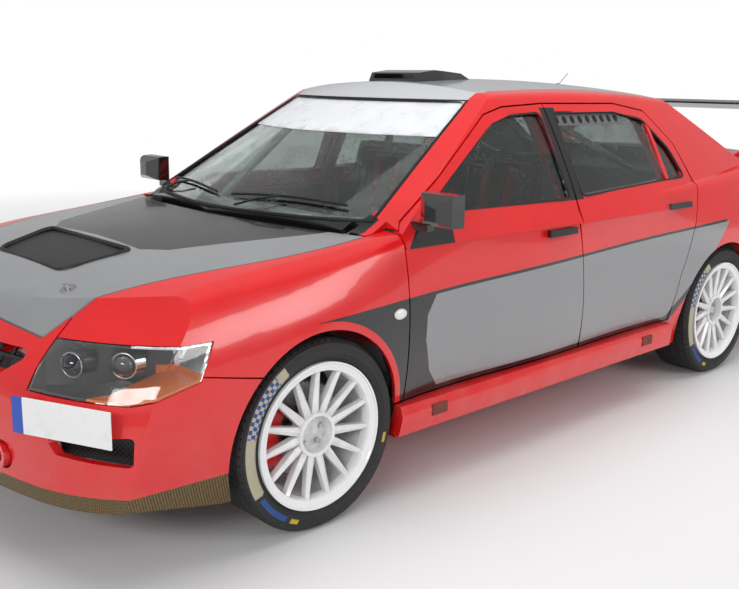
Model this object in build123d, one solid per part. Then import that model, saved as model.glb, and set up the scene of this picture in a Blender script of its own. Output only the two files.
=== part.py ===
from build123d import *
import math
import os

# Rally saloon car. Millimetres, x forward, y to the car's left, z up.
# The origin is on the floor, halfway along and across the car.

# Whole car
LENGTH = 4490
WIDTH = 1770
HEIGHT = 1450
WHEELBASE = 2625
FRONT_OVERHANG = 905
TRACK = 1515
NOSE_X = LENGTH / 2
FRONT_AXLE = NOSE_X - FRONT_OVERHANG
REAR_AXLE = FRONT_AXLE - WHEELBASE

# Walls, and the gaps between panels
SKIN = 12
DOOR_WALL = 70
FRAME_WALL = 34
ROOF_WALL = 40
LID_WALL = 26
BUMPER_WALL = 26
GLASS = 5
GLASS_SETBACK = 9
SCREEN_WALL = 44
DOOR_SCREEN_WALL = 16
SHUT_GAP = 6
PILLAR_GAP = 8
PILLAR_DEPTH = 50

# Wheels
TYRE_R = 320
TYRE_W = 225
RIM_R = 246
RIM_BARREL_R = 224
RIM_WALL = 9
RIM_W = 218
SPOKES = 15
HUB_R = 74
WHEEL_Y = TRACK / 2
DISC_R = 160
DISC_T = 28
DISC_Y = WHEEL_Y - 8
KINGPIN_Y = 700
ARCH_R = 352
WHEELHOUSE_R = 384
WHEELHOUSE_FRONT_Y = 470
WHEELHOUSE_REAR_Y = 600

# Levels and stations
FLOOR_Z = 200
FLOOR_T = 40
SILL_TOP = 345
CABIN_FRONT = 985
CABIN_REAR = -1180
FIREWALL_T = 40
BAY_FRONT = 2040
BAY_HALF_W = 450
BOOT_REAR = -2150
SHELF_Z = 985
BELT_BASE = 880
DOOR_FRONT_X = 940
DOOR_SPLIT_X = -55
DOOR_SPLIT_LEAN = 55

FAR = 3000
OUT_Y = 1000
IN_Y = 300
DOOR_SEAL_LAP = 26
DOOR_TRAIL_ANGLE = 22
WINDOW_ROUND = 26
SCREEN_GLASS = 6

# Bonnet, boot lid and the lines between panels
BONNET_REAR = (1050, 735, 1222)
BONNET_MIDDLE = (1660, 655)
BONNET_FRONT = (2072, 470, 2122)
VENT_FRONT = (1905, 250)
VENT_REAR = (1680, 300)
BOOT_FRONT = (-1716, 600, -1752)
BOOT_SIDE_Y = 600
BOOT_LOW_Z = 745
BUMPER_TOP_Z = 612
REAR_BUMPER_TOP_Z = 600
TAIL_LAMP_Z = (745, 925)
TAIL_LAMP_X = -2040

# Hinges: axis of the bonnet and of the boot lid as (x, z), their pins and eyes, and
# the small blocks that carry the doors at rest
BONNET_AXIS = (1030, 915)
BOOT_AXIS = (-1590, 1012)
PIN_R = 5
EYE_R = 12
RUNNING_GAP = 0.3
BONNET_EYE_Y = 650
BOOT_EYE_Y = 540
EYE_T = 12
EYE_SLOT = 32

# Fastening points
TOW_EYE_R = 38
TOW_BORE_R = 22
TOW_PLATE = 14
TOW_BOSS = 30
TOW_FRONT = (2193, 425, 356)
TOW_HOLE_R = 46
TOW_REAR = (-2200, -300, 190)
JACK_XS = (700, -750)
JACK_Y = 720
JACK_Z = 188

# Cage, seats and fittings
TUBE_R = 20
BRACE_R = 18
SEAT_Y = 350
SEAT_X = -30
SEAT_W = 500
SEAT_WALL = 22
STEERING_WHEEL_R = 175


# Cross sections of the lower body, from nose to tail: station x, half width and height
# of the bottom edge, of the widest point, and of the shoulder, height on the
# centre line, and the radius that rounds the shoulder.
LOWER_SECTIONS = (
    (2320, 730, 150, 800, 430, 700, 600, 645, 70),
    (2000, 780, 150, 850, 500, 762, 765, 808, 80),
    (1680, 815, 160, 879, 560, 790, 848, 892, 90),
    (1340, 825, 170, 885, 590, 806, 884, 932, 90),
    (980, 800, 190, 862, 610, 815, 922, 966, 60),
    (500, 790, 200, 850, 610, 824, 940, 958, 36),
    (-300, 790, 200, 850, 615, 828, 956, 966, 36),
    (-900, 800, 200, 862, 615, 824, 978, 990, 40),
    (-1285, 825, 200, 885, 600, 806, 1002, 1024, 70),
    (-1700, 810, 200, 868, 600, 780, 1030, 1062, 80),
    (-2320, 770, 220, 830, 600, 742, 1042, 1088, 80),
)

# Plan outlines that round the nose and the tail, from the bottom up: height, nose x,
# x and y where the front arc meets the corner, x where the corner meets the side,
# and the same four for the tail.
PLAN_LEVELS = (
    (100, 2150, 2080, 560, 1790, -2120, -2075, 600, -1880),
    (260, 2230, 2158, 560, 1800, -2215, -2170, 620, -1930),
    (430, 2245, 2168, 550, 1790, -2247, -2202, 630, -1950),
    (590, 2216, 2135, 530, 1750, -2248, -2203, 630, -1950),
    (710, 2140, 2050, 510, 1660, -2225, -2180, 620, -1930),
    (905, 1985, 1895, 505, 1525, -2192, -2147, 610, -1908),
    (1100, 1830, 1740, 500, 1400, -2150, -2105, 600, -1880),
)
PLAN_SIDE_Y = 960

# Cross sections of the cabin roof and side glass: station x, half width at the base,
# half width and height of the roof rail, height on the centre line.
UPPER_SECTIONS = (
    (1450, 830, 560, 1330, 1372),
    (320, 848, 588, 1384, 1432),
    (-150, 856, 604, 1396, HEIGHT),
    (-700, 854, 602, 1385, 1440),
    (-1150, 838, 586, 1356, 1408),
    (-2250, 760, 520, 1240, 1290),
)
UPPER_ROUND = 56
UPPER_BULGE = 14

# Screens, seen from the side: x on the centre line at the base and top levels
SCREEN_LOW_Z = 860
SCREEN_HIGH_Z = 1480
SCREEN_FRONT_X = (1367, 229)
SCREEN_REAR_X = (-2146, -888)
SCREEN_BOW_R = 1250
BACKLIGHT_BOW_R = 2600
SCREEN_REACH = 900


def arc_drop(radius, reach):
    """How far an arc falls back from its middle at a half width of reach."""
    return radius - math.sqrt(radius**2 - reach**2)


def solid_of(shape):
    """The shape's solids, as one solid or a compound."""
    parts = shape.solids()
    return parts[0] if len(parts) == 1 else Compound(parts)


def biggest(shape):
    """The largest solid, without the slivers that a cut leaves."""
    return max(shape.solids(), key=lambda solid: solid.volume)


def box(x0, x1, y0, y1, z0, z1):
    """A plain box between two corners."""
    middle = ((x0 + x1) / 2, (y0 + y1) / 2, (z0 + z1) / 2)
    return Pos(*middle) * Box(abs(x1 - x0), abs(y1 - y0), abs(z1 - z0))


def mirrored(shape):
    """The same piece on the car's other side."""
    return mirror(shape, about=Plane.XZ)


def side_face(points, y, round_r=0):
    """A face at a constant y from corner points (x, z), with rounded corners."""
    face = Face(Wire.make_polygon([Vector(x, y, z) for x, z in points], close=True))
    return face.fillet_2d(round_r, face.vertices()) if round_r else face


def side_prism(points, y0, y1, round_r=0, shear=0.0):
    """A side-view outline pushed through from y0 to y1; shear slides it along x."""
    face = side_face(points, y0, round_r)
    return Solid.extrude(face, Vector((y1 - y0) * shear, y1 - y0, 0))


def front_prism(points, x0, x1, round_r=0):
    """A front-view outline (y, z) pushed along x from x0 to x1."""
    face = Face(Wire.make_polygon([Vector(x0, y, z) for y, z in points], close=True))
    if round_r:
        face = face.fillet_2d(round_r, face.vertices())
    return Solid.extrude(face, Vector(x1 - x0, 0, 0))


def plan_prism(points, z0, z1, round_r=0):
    """A plan-view outline (x, y) pushed up from z0 to z1."""
    face = Face(Wire.make_polygon([Vector(x, y, z0) for x, y in points], close=True))
    if round_r:
        face = face.fillet_2d(round_r, face.vertices())
    return Solid.extrude(face, Vector(0, 0, z1 - z0))


def wheel_cylinder(x, radius, y0, y1, z=TYRE_R):
    """A cylinder along y about a wheel's centre."""
    return Pos(x, (y0 + y1) / 2, z) * Rot(90, 0, 0) * Cylinder(radius, abs(y1 - y0))


def lower_section(row, inset, floor_inset):
    """One closed cross section of the lower body."""
    x, low_y, low_z, wide_y, wide_z, top_y, top_z, mid_z, round_r = row
    low = (low_y - inset, low_z + floor_inset)
    wide = (wide_y - inset, wide_z)
    top = (top_y - inset, top_z - inset)
    edges = [
        Line((x, -low[0], low[1]), (x, low[0], low[1])),
        TangentArc((x, wide[0], wide[1]), (x, low[0], low[1]), tangent=(0, 0, -1)),
        TangentArc((x, wide[0], wide[1]), (x, top[0], top[1]), tangent=(0, 0, 1)),
        ThreePointArc((x, top[0], top[1]), (x, 0, mid_z - inset), (x, -top[0], top[1])),
        TangentArc((x, -wide[0], wide[1]), (x, -top[0], top[1]), tangent=(0, 0, 1)),
        TangentArc((x, -wide[0], wide[1]), (x, -low[0], low[1]), tangent=(0, 0, -1)),
    ]
    face = Face(Wire(edges))
    corners = [v for v in face.vertices() if abs(v.Z - top[1]) < 0.01]
    return face.fillet_2d(round_r, corners)


def plan_outline(row, inset):
    """One closed plan outline of the lower body."""
    z, nose, front_x, front_y, front_end, tail, rear_x, rear_y, rear_end = row
    nose, front_x, front_end = nose - inset, front_x - inset, front_end - inset
    tail, rear_x, rear_end = tail + inset, rear_x + inset, rear_end + inset
    front = ThreePointArc((front_x, -front_y, z), (nose, 0, z), (front_x, front_y, z))
    rear = ThreePointArc((rear_x, rear_y, z), (tail, 0, z), (rear_x, -rear_y, z))
    side = PLAN_SIDE_Y
    edges = [
        front,
        TangentArc((front_x, front_y, z), (front_end, side, z), tangent=front % 1),
        Line((front_end, side, z), (rear_end, side, z)),
        TangentArc((rear_x, rear_y, z), (rear_end, side, z), tangent=(rear % 0) * -1),
        rear,
        TangentArc((rear_x, -rear_y, z), (rear_end, -side, z), tangent=rear % 1),
        Line((rear_end, -side, z), (front_end, -side, z)),
        TangentArc((front_x, -front_y, z), (front_end, -side, z), tangent=(front % 0) * -1),
    ]
    return Face(Wire(edges))


def lower_body(inset=0, floor_inset=None):
    """The lower body as one solid, shrunk inwards by inset."""
    floor_inset = inset if floor_inset is None else floor_inset
    sides = loft([lower_section(row, inset, floor_inset) for row in LOWER_SECTIONS])
    ends = loft([plan_outline(row, inset) for row in PLAN_LEVELS])
    return solid_of(sides & ends)


def upper_section(row, inset):
    """One closed cross section of the cabin above the belt."""
    x, base_y, rail_y, rail_z, mid_z = row
    base_y, rail_y, rail_z, mid_z = base_y - inset, rail_y - inset, rail_z - inset, mid_z - inset
    bulge = ((base_y + rail_y) / 2 + UPPER_BULGE, (BELT_BASE + rail_z) / 2)
    edges = [
        Line((x, -base_y, BELT_BASE), (x, base_y, BELT_BASE)),
        ThreePointArc((x, base_y, BELT_BASE), (x, bulge[0], bulge[1]), (x, rail_y, rail_z)),
        ThreePointArc((x, rail_y, rail_z), (x, 0, mid_z), (x, -rail_y, rail_z)),
        ThreePointArc((x, -rail_y, rail_z), (x, -bulge[0], bulge[1]), (x, -base_y, BELT_BASE)),
    ]
    face = Face(Wire(edges))
    corners = [v for v in face.vertices() if abs(v.Z - rail_z) < 0.01]
    return face.fillet_2d(UPPER_ROUND, corners)


def screen_outline(level, inset):
    """Plan outline of the two screens at the base or the top level."""
    z = (SCREEN_LOW_Z, SCREEN_HIGH_Z)[level]
    lean = 2.0
    front = SCREEN_FRONT_X[level] - inset * lean
    rear = SCREEN_REAR_X[level] + inset * lean
    front_end = front - arc_drop(SCREEN_BOW_R, SCREEN_REACH)
    rear_end = rear + arc_drop(BACKLIGHT_BOW_R, SCREEN_REACH)
    edges = [
        ThreePointArc((front_end, -SCREEN_REACH, z), (front, 0, z), (front_end, SCREEN_REACH, z)),
        Line((front_end, SCREEN_REACH, z), (rear_end, SCREEN_REACH, z)),
        ThreePointArc((rear_end, SCREEN_REACH, z), (rear, 0, z), (rear_end, -SCREEN_REACH, z)),
        Line((rear_end, -SCREEN_REACH, z), (front_end, -SCREEN_REACH, z)),
    ]
    return Face(Wire(edges))


def upper_body(inset=0, screen_inset=None):
    """The cabin above the belt as one solid, shrunk inwards by inset."""
    screen_inset = inset if screen_inset is None else screen_inset
    sides = loft([upper_section(row, inset) for row in UPPER_SECTIONS])
    screens = loft([screen_outline(0, screen_inset), screen_outline(1, screen_inset)], ruled=True)
    return solid_of(sides & screens)


# The inner face of the doors and roof: station x, half width at the floor, at the
# widest point and under the belt, half width at the base of the side glass, then half
# width and height at the roof rail, and height on the centre line.
INNER_SECTIONS = (
    (1400, 735, 786, 756, 792, 526, 1290, 1330),
    (400, 735, 780, 760, 806, 550, 1345, 1400),
    (-600, 735, 780, 766, 812, 562, 1352, 1410),
    (-1900, 735, 780, 740, 770, 510, 1280, 1330),
)
INNER_BELT_Z = 900
INNER_WIDE_Z = 610


def inner_form(lower_inset, upper_inset, screen_inset, floor_z):
    """A flat-sided form inside the doors and roof, for inner walls and the cabin."""
    faces = []
    for x, low_y, wide_y, belt_y, glass_y, rail_y, rail_z, roof_z in INNER_SECTIONS:
        half = (
            (low_y - lower_inset, floor_z),
            (wide_y - lower_inset, INNER_WIDE_Z),
            (belt_y - lower_inset, INNER_BELT_Z),
            (glass_y - upper_inset, INNER_BELT_Z + 5),
            (rail_y - upper_inset, rail_z),
            (rail_y - upper_inset - 60, rail_z + 22),
        )
        ring = [(y, z) for y, z in half] + [(0, roof_z)] + [(-y, z) for y, z in reversed(half)]
        faces.append(Face(Wire.make_polygon([Vector(x, y, z) for y, z in ring], close=True)))
    sides = loft(faces, ruled=True)
    screens = loft([screen_outline(0, screen_inset), screen_outline(1, screen_inset)], ruled=True)
    return sides & (screens + box(-FAR, FAR, -OUT_Y, OUT_Y, 0, SCREEN_LOW_Z + 1))


# The outer form, and the same form pulled inwards by each wall
LOWER = lower_body()
UPPER = upper_body()
OUTER = LOWER + UPPER
LOWER_SKIN = lower_body(SKIN)
LOWER_BUMPER = lower_body(BUMPER_WALL)
DOOR_INNER = inner_form(0, 0, DOOR_SCREEN_WALL, 100)
PILLAR_OUTER = inner_form(PILLAR_GAP, PILLAR_GAP, DOOR_SCREEN_WALL + 18, 100)
CABIN = inner_form(PILLAR_GAP + PILLAR_DEPTH, PILLAR_GAP + PILLAR_DEPTH / 2, SCREEN_WALL, FLOOR_Z + FLOOR_T)

# Side-view outlines of the left doors and their windows, as corner points (x, z)
BELT_FRONT_Z = 932
BELT_REAR_Z = 985
FRAME_TOP_Z = 1352
FRONT_DOOR = (
    (DOOR_FRONT_X, SILL_TOP),
    (DOOR_FRONT_X, BELT_FRONT_Z),
    (908, 962),
    (330, 1312),
    (210, FRAME_TOP_Z - 12),
    (DOOR_SPLIT_X + 15, FRAME_TOP_Z),
    (DOOR_SPLIT_X, BELT_FRONT_Z),
    (DOOR_SPLIT_X - DOOR_SPLIT_LEAN, SILL_TOP),
)
REAR_DOOR = (
    (DOOR_SPLIT_X - DOOR_SPLIT_LEAN - SHUT_GAP, SILL_TOP),
    (DOOR_SPLIT_X - SHUT_GAP, BELT_FRONT_Z),
    (DOOR_SPLIT_X + 15 - SHUT_GAP, FRAME_TOP_Z),
    (-560, FRAME_TOP_Z - 4),
    (-800, 1312),
    (-960, 1160),
    (-1030, BELT_REAR_Z),
    (-985, 800),
    (-880, 560),
    (-836, SILL_TOP),
)
FRONT_WINDOW = ((800, 988), (300, 1282), (190, 1310), (-4, 1318), (-20, 978))
REAR_WINDOW = ((-104, 982), (-90, 1318), (-540, 1316), (-756, 1278), (-900, 1140), (-956, 1012))
DOOR_SHEAR = math.tan(math.radians(DOOR_TRAIL_ANGLE))


def skin_y(z):
    """Roughly how far out the car's side lies at height z."""
    return 850 if z < BELT_FRONT_Z else 850 - (z - BELT_FRONT_Z) * 0.58


def aperture(points, grow):
    """A side-view outline, grown or shrunk, cut in through the left side."""
    grown = offset(side_face(points, 0), amount=grow, kind=Kind.INTERSECTION).faces()[0]
    return Solid.extrude(Pos(0, IN_Y, 0) * grown, Vector(0, OUT_Y - IN_Y, 0))


def ahead_of(edge):
    """What lies ahead of a door's rear edge, which slants forwards as it goes in."""
    line = [(x - (OUT_Y - skin_y(z)) * DOOR_SHEAR, z) for x, z in reversed(edge)]
    line = [(line[0][0], 0)] + line + [(line[-1][0], 2 * HEIGHT)]
    return side_prism(line + [(FAR, 2 * HEIGHT), (FAR, 0)], OUT_Y, IN_Y, shear=-DOOR_SHEAR)


def glass_shell(setback, thickness):
    """A thin layer of the cabin form, from which each pane is cut."""
    return upper_body(setback) - upper_body(setback + thickness)


def both(shape):
    """The piece and its mirror image as one compound."""
    return Compound([*shape.solids(), *mirrored(shape).solids()])


def bonnet_outline():
    """The bonnet's plan outline as a face at floor level."""
    rear_x, rear_y, rear_mid = BONNET_REAR
    front_x, front_y, front_mid = BONNET_FRONT
    mid_x, mid_y = BONNET_MIDDLE
    edges = [
        ThreePointArc((rear_x, -rear_y, 0), (rear_mid, 0, 0), (rear_x, rear_y, 0)),
        ThreePointArc((rear_x, rear_y, 0), (mid_x, mid_y, 0), (front_x, front_y, 0)),
        ThreePointArc((front_x, front_y, 0), (front_mid, 0, 0), (front_x, -front_y, 0)),
        ThreePointArc((front_x, -front_y, 0), (mid_x, -mid_y, 0), (rear_x, -rear_y, 0)),
    ]
    return Face(Wire(edges))


def boot_outline():
    """The boot lid's plan outline as a face at floor level, open to the tail."""
    front_x, front_y, front_mid = BOOT_FRONT
    edges = [
        ThreePointArc((front_x, -front_y, 0), (front_mid, 0, 0), (front_x, front_y, 0)),
        Line((front_x, front_y, 0), (-FAR, BOOT_SIDE_Y, 0)),
        Line((-FAR, BOOT_SIDE_Y, 0), (-FAR, -BOOT_SIDE_Y, 0)),
        Line((-FAR, -BOOT_SIDE_Y, 0), (front_x, -front_y, 0)),
    ]
    return Face(Wire(edges))


def raised(face, z0, z1, grow=0):
    """A floor-level face, grown by a gap, as a prism between two heights."""
    face = offset(face, amount=grow, kind=Kind.INTERSECTION).faces()[0] if grow else face
    return Solid.extrude(Pos(0, 0, z0) * face, Vector(0, 0, z1 - z0))


# Lids, bumpers and wings
BONNET_UNDER = Pos(0, 0, -LID_WALL) * LOWER
BOOT_UNDER = Pos(LID_WALL, 0, -LID_WALL) * LOWER
ARCHES = [(FRONT_AXLE, WHEELHOUSE_FRONT_Y), (REAR_AXLE, WHEELHOUSE_REAR_Y)]
arch_holes = [wheel_cylinder(x, ARCH_R, -OUT_Y, OUT_Y) for x, _ in ARCHES]
HEADLAMP_SIDE = ((2260, 574), (1985, 556), (1792, 600), (1738, 704), (2260, 700))
HEADLAMP_INNER_Y = 520


HEADLAMP_LAMPS = ((2018, 590, 640, 24), (1925, 702, 646, 40))
LAMP_R = 36


def headlamp_zone(grow=0):
    """The space that the left headlamp takes in the nose."""
    face = side_face(HEADLAMP_SIDE, 0)
    face = offset(face, amount=grow, kind=Kind.INTERSECTION).faces()[0] if grow else face
    zone = Solid.extrude(Pos(0, HEADLAMP_INNER_Y - grow, 0) * face, Vector(0, OUT_Y, 0))
    return zone - raised(bonnet_outline(), 0, 1200, grow=SHUT_GAP - min(grow, SHUT_GAP))


def make_bonnet():
    """The bonnet panel, with the hole for its vent."""
    panel = (LOWER - BONNET_UNDER) & raised(bonnet_outline(), 500, 1200)
    panel = panel - plan_prism(vent_points(0), 600, 1200, round_r=30)
    x, z = BONNET_AXIS
    y0, y1 = BONNET_EYE_Y - EYE_T / 2, BONNET_EYE_Y + EYE_T / 2
    arm = side_prism(((x, z - 9), (x + 85, z - 17), (x + 85, z + 4), (x, z + 9)), y0, y1)
    arm = arm + wheel_cylinder(x, EYE_R, y0, y1, z)
    arm = arm - wheel_cylinder(x, PIN_R + RUNNING_GAP, y0 - 1, y1 + 1, z)
    return panel.fuse(arm, mirrored(arm))


def vent_points(grow):
    """Plan outline of the bonnet vent."""
    (fx, fy), (rx, ry) = VENT_FRONT, VENT_REAR
    fx, fy, rx, ry = fx + grow, fy + grow, rx - grow, ry + grow
    return ((fx, -fy), (fx, fy), (rx, ry), (rx, -ry))


def make_bonnet_vent():
    """The mesh panel that fills the bonnet's vent."""
    layer = (Pos(0, 0, -6) * LOWER) - (Pos(0, 0, -18) * LOWER)
    return layer & plan_prism(vent_points(0), 600, 1200, round_r=30)


def make_boot_lid():
    """The boot lid, with its top and its rear face."""
    panel = (LOWER - BOOT_UNDER) & raised(boot_outline(), BOOT_LOW_Z, 1200)
    x, z = BOOT_AXIS
    y0, y1 = BOOT_EYE_Y - EYE_T / 2, BOOT_EYE_Y + EYE_T / 2
    turns = [math.radians(angle) for angle in (242, 230, 215, 200, 185)]
    outside = [(x + 160 * math.cos(a), z + 160 * math.sin(a)) for a in turns]
    inside = [(x + 143 * math.cos(a), z + 143 * math.sin(a)) for a in turns]
    neck = side_prism([
        (x + 8, z - 3),
        (x - 47, z - 156),
        *outside,
        (x - 160, z + 20),
        (x - 143, z + 20),
        *reversed(inside),
        (x - 56, z - 130),
        (x - 8, z + 3),
    ], y0, y1)
    neck = neck + wheel_cylinder(x, EYE_R, y0, y1, z)
    neck = neck - wheel_cylinder(x, PIN_R + RUNNING_GAP, y0 - 1, y1 + 1, z)
    return panel.fuse(neck, mirrored(neck))


def make_front_wing():
    """The left front wing, from the door to the headlamp."""
    zone = side_prism((
        (DOOR_FRONT_X + SHUT_GAP, SILL_TOP),
        (DOOR_FRONT_X + SHUT_GAP, 1100),
        (2300, 1100),
        (2300, BUMPER_TOP_Z + 4),
        (1792, BUMPER_TOP_Z + 4),
        (1560, 570),
        (1500, SILL_TOP),
    ), HEADLAMP_INNER_Y + 3, OUT_Y)
    cowl = plan_prism(((0, -735), (1060, -735), (1060, 735), (0, 735)), 0, 1200)
    bonnet_gap = raised(bonnet_outline(), 0, 1200, grow=SHUT_GAP)
    holes = [LOWER_SKIN, bonnet_gap, cowl, arch_holes[0], headlamp_zone(3)]
    return biggest((LOWER & zone) - holes)


def front_bumper_zone():
    """The space in the nose that the front bumper takes."""
    side = side_prism((
        (1500, 0),
        (1560, 564),
        (1792, BUMPER_TOP_Z),
        (2300, BUMPER_TOP_Z),
        (2300, 0),
    ), -OUT_Y, OUT_Y)
    middle = box(2000, 2300, -HEADLAMP_INNER_Y + 3, HEADLAMP_INNER_Y - 3, BUMPER_TOP_Z, 760)
    return side + middle


MOUTH = ((-370, 498), (370, 498), (336, 306), (-336, 306))
UPPER_MOUTH = ((-492, 664), (492, 664), (392, 592), (-392, 592))
SIDE_DUCT = ((610, 452), (836, 472), (836, 384), (646, 404))
LIP_TOP = 290
LIP_SIDE = ((2400, 236), (2000, 246), (1700, 184), (1600, 184), (1600, LIP_TOP), (2400, LIP_TOP))
GRILLE_T = 8
GRILLE_WEB = 8


def make_front_bumper():
    """The front bumper, with its mouths and ducts."""
    lamp = headlamp_zone(3)
    duct = front_prism(SIDE_DUCT, 1900, 2400, round_r=14)
    holes = [LOWER_BUMPER, raised(bonnet_outline(), 0, 1200, grow=SHUT_GAP), arch_holes[0]]
    holes += [lamp, mirrored(lamp), duct, mirrored(duct)]
    holes += [box(1400, 2400, -OUT_Y, OUT_Y, 0, LIP_TOP)]
    _, y, z = TOW_FRONT
    holes += [Pos(2150, y, z) * Rot(0, 90, 0) * Cylinder(TOW_HOLE_R, 300)]
    holes += [front_prism(points, 1900, 2400, round_r=18) for points in (MOUTH, UPPER_MOUTH)]
    shell = biggest((LOWER & front_bumper_zone()) - holes)
    return shell.fuse(*[box(BAY_FRONT, 2192, y, y + 40, 590, 606) for y in (150, -150)])


def make_front_lip():
    """The deep strip along the bumper's lower edge."""
    strip = LOWER & side_prism(LIP_SIDE, -OUT_Y, OUT_Y)
    inside = box(1600, 2060, -700, 700, 0, LIP_TOP)
    return biggest(strip - [LOWER_BUMPER, arch_holes[0], inside])


def grille_slots(outline, rows, columns):
    """Rows of slots that fill a mouth's outline, as boxes through the nose."""
    half, top = outline[1]
    low_half, low = outline[2]
    slots = []
    for row in range(rows):
        step = (top - low) / rows
        z0, z1 = low + row * step + GRILLE_WEB / 2, low + (row + 1) * step - GRILLE_WEB / 2
        reach = low_half + (half - low_half) * (z0 - low) / (top - low) - GRILLE_WEB
        width = 2 * reach / columns
        for column in range(columns):
            y0 = column * width - reach + GRILLE_WEB / 2
            slots.append(box(1900, 2400, y0, y0 + width - GRILLE_WEB, z0, z1))
    return slots


def make_grilles():
    """The grilles of both mouths, slotted sheets on the bumper's inner face."""
    sheet = LOWER_BUMPER - lower_body(BUMPER_WALL + GRILLE_T)
    grilles = []
    for outline, rows, columns in ((MOUTH, 4, 9), (UPPER_MOUTH, 2, 13)):
        face = side_face([(y, z) for y, z in outline], 0)
        grown = offset(face, amount=10, kind=Kind.INTERSECTION).faces()[0]
        frame = [(vertex.X, vertex.Z) for vertex in grown.outer_wire().order_edges().vertices()]
        grille = sheet & front_prism(frame, 1990, 2400)
        stays = [box(1990, 2400, y - 1, y + 41, 589, 607) for y in (150, -150)]
        grilles.append(biggest(grille - grille_slots(outline, rows, columns) - stays))
    return Compound(grilles)


def make_headlamp_lens():
    """The left headlamp's clear cover."""
    return biggest((LOWER & headlamp_zone()) - lower_body(GLASS))


def make_headlamp_housing():
    """The left headlamp's bowl with its lamps."""
    wall_y = HEADLAMP_INNER_Y + 7
    rear_y = HEADLAMP_INNER_Y - 10
    ahead = plan_prism(((1748, 770), (2092, wall_y), (2400, wall_y), (2400, 1000), (1748, 1000)), 400, 900)
    back = plan_prism(((1720, 740), (2070, rear_y), (2400, rear_y), (2400, 1000), (1720, 1000)), 400, 900)
    bowl = (lower_body(GLASS + 1) & headlamp_zone() & back) - (headlamp_zone(-7) & ahead)
    lamps = []
    for x, y, z, turn in HEADLAMP_LAMPS:
        lamps.append(Pos(x, y, z) * Rot(0, 90, turn) * Cylinder(LAMP_R, 70))
        nose = Pos(x, y, z) * Rot(0, 90, turn) * Pos(0, 0, 24)
        lamps.append(nose * Sphere(LAMP_R - 5))
    behind = lower_body(GLASS + 6)
    lamps = [lamp & behind for lamp in lamps]
    bracket = box(1962, 1988, BAY_HALF_W + 22, 595, 585, 610)
    return biggest(bowl.fuse(*lamps, bracket))


def make_rear_bumper():
    """The rear bumper."""
    side = side_prism((
        (-1500, 0),
        (-1560, 560),
        (-1700, REAR_BUMPER_TOP_Z),
        (-2300, REAR_BUMPER_TOP_Z),
        (-2300, 0),
    ), -OUT_Y, OUT_Y)
    exhaust_gap = box(-2400, -1980, -620, -440, 0, 330)
    under = box(-2400, -1400, -OUT_Y, OUT_Y, 0, 229)
    x, y, z = TOW_REAR
    eye_gap = box(x + 30, x + 130, y - 20, y + 20, 0, 300)
    return biggest((LOWER & side) - [LOWER_BUMPER, arch_holes[1], exhaust_gap, under, eye_gap])


def tail_lamp_zone(grow=0):
    """The space that the left tail lamp takes."""
    z0, z1 = TAIL_LAMP_Z
    inner = BOOT_SIDE_Y + SHUT_GAP - grow
    return box(-FAR, TAIL_LAMP_X + grow, inner, OUT_Y, z0 - grow, z1 + grow)


def make_tail_lamp():
    """The left tail lamp."""
    return LOWER & tail_lamp_zone()


# Hinge and striker blocks, which meet the closed doors: x ranges and heights
DOOR_BLOCK_XS = ((890, 925), (-40, -15), (-136, -112), (-800, -776))
DOOR_BLOCK_ZS = (450, 780)
DOOR_SEAT = inner_form(RUNNING_GAP, RUNNING_GAP, DOOR_SCREEN_WALL + 18, 100)


def side_structure():
    """What the doors cover and uncover on the left side, as one cutter."""
    outer = aperture(FRONT_DOOR, SHUT_GAP) + aperture(REAR_DOOR, SHUT_GAP)
    inner = aperture(FRONT_DOOR, -DOOR_SEAL_LAP) + aperture(REAR_DOOR, -DOOR_SEAL_LAP)
    return (outer - PILLAR_OUTER) + inner


WINDSCREEN_OPENING = ((-690, 962), (690, 962), (535, 1362), (-535, 1362))
BACKLIGHT_OPENING = ((-600, 1094), (600, 1094), (500, 1350), (-500, 1350))


WINDSCREEN_PRISM = front_prism(WINDSCREEN_OPENING, 150, 1400, round_r=40)
BACKLIGHT_PRISM = front_prism(BACKLIGHT_OPENING, -2000, -900, round_r=40)


ROOF_SKIN = 16
ROOF_EDGE_Y = 520
ROOF_PLAN = (
    (258, -ROOF_EDGE_Y),
    (258, ROOF_EDGE_Y),
    (-1040, ROOF_EDGE_Y - 12),
    (-1040, 12 - ROOF_EDGE_Y),
)


def roof_cutter():
    """The space above the roof panel's underside."""
    return plan_prism(ROOF_PLAN, 1250, 1600, round_r=20) - Pos(0, 0, -ROOF_SKIN) * UPPER


BOOT_BOX = ((-1400, -740), (-1400, 740), (-1990, 740), (-2140, 560), (-2140, -560), (-1990, -740))


def boot_space():
    """The boot's inside, with a pocket behind each wheelhouse."""
    middle = box(BOOT_REAR + 40, CABIN_REAR - 25, -575, 575, 340, SHELF_Z - 15)
    pocket = box(-1970, REAR_AXLE - WHEELHOUSE_R - 20, -715, 715, 340, 930)
    mouth = raised(boot_outline(), 700, 1200, grow=-20) & box(BOOT_REAR, 0, -OUT_Y, OUT_Y, 0, 1200)
    return middle + pocket + mouth


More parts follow.
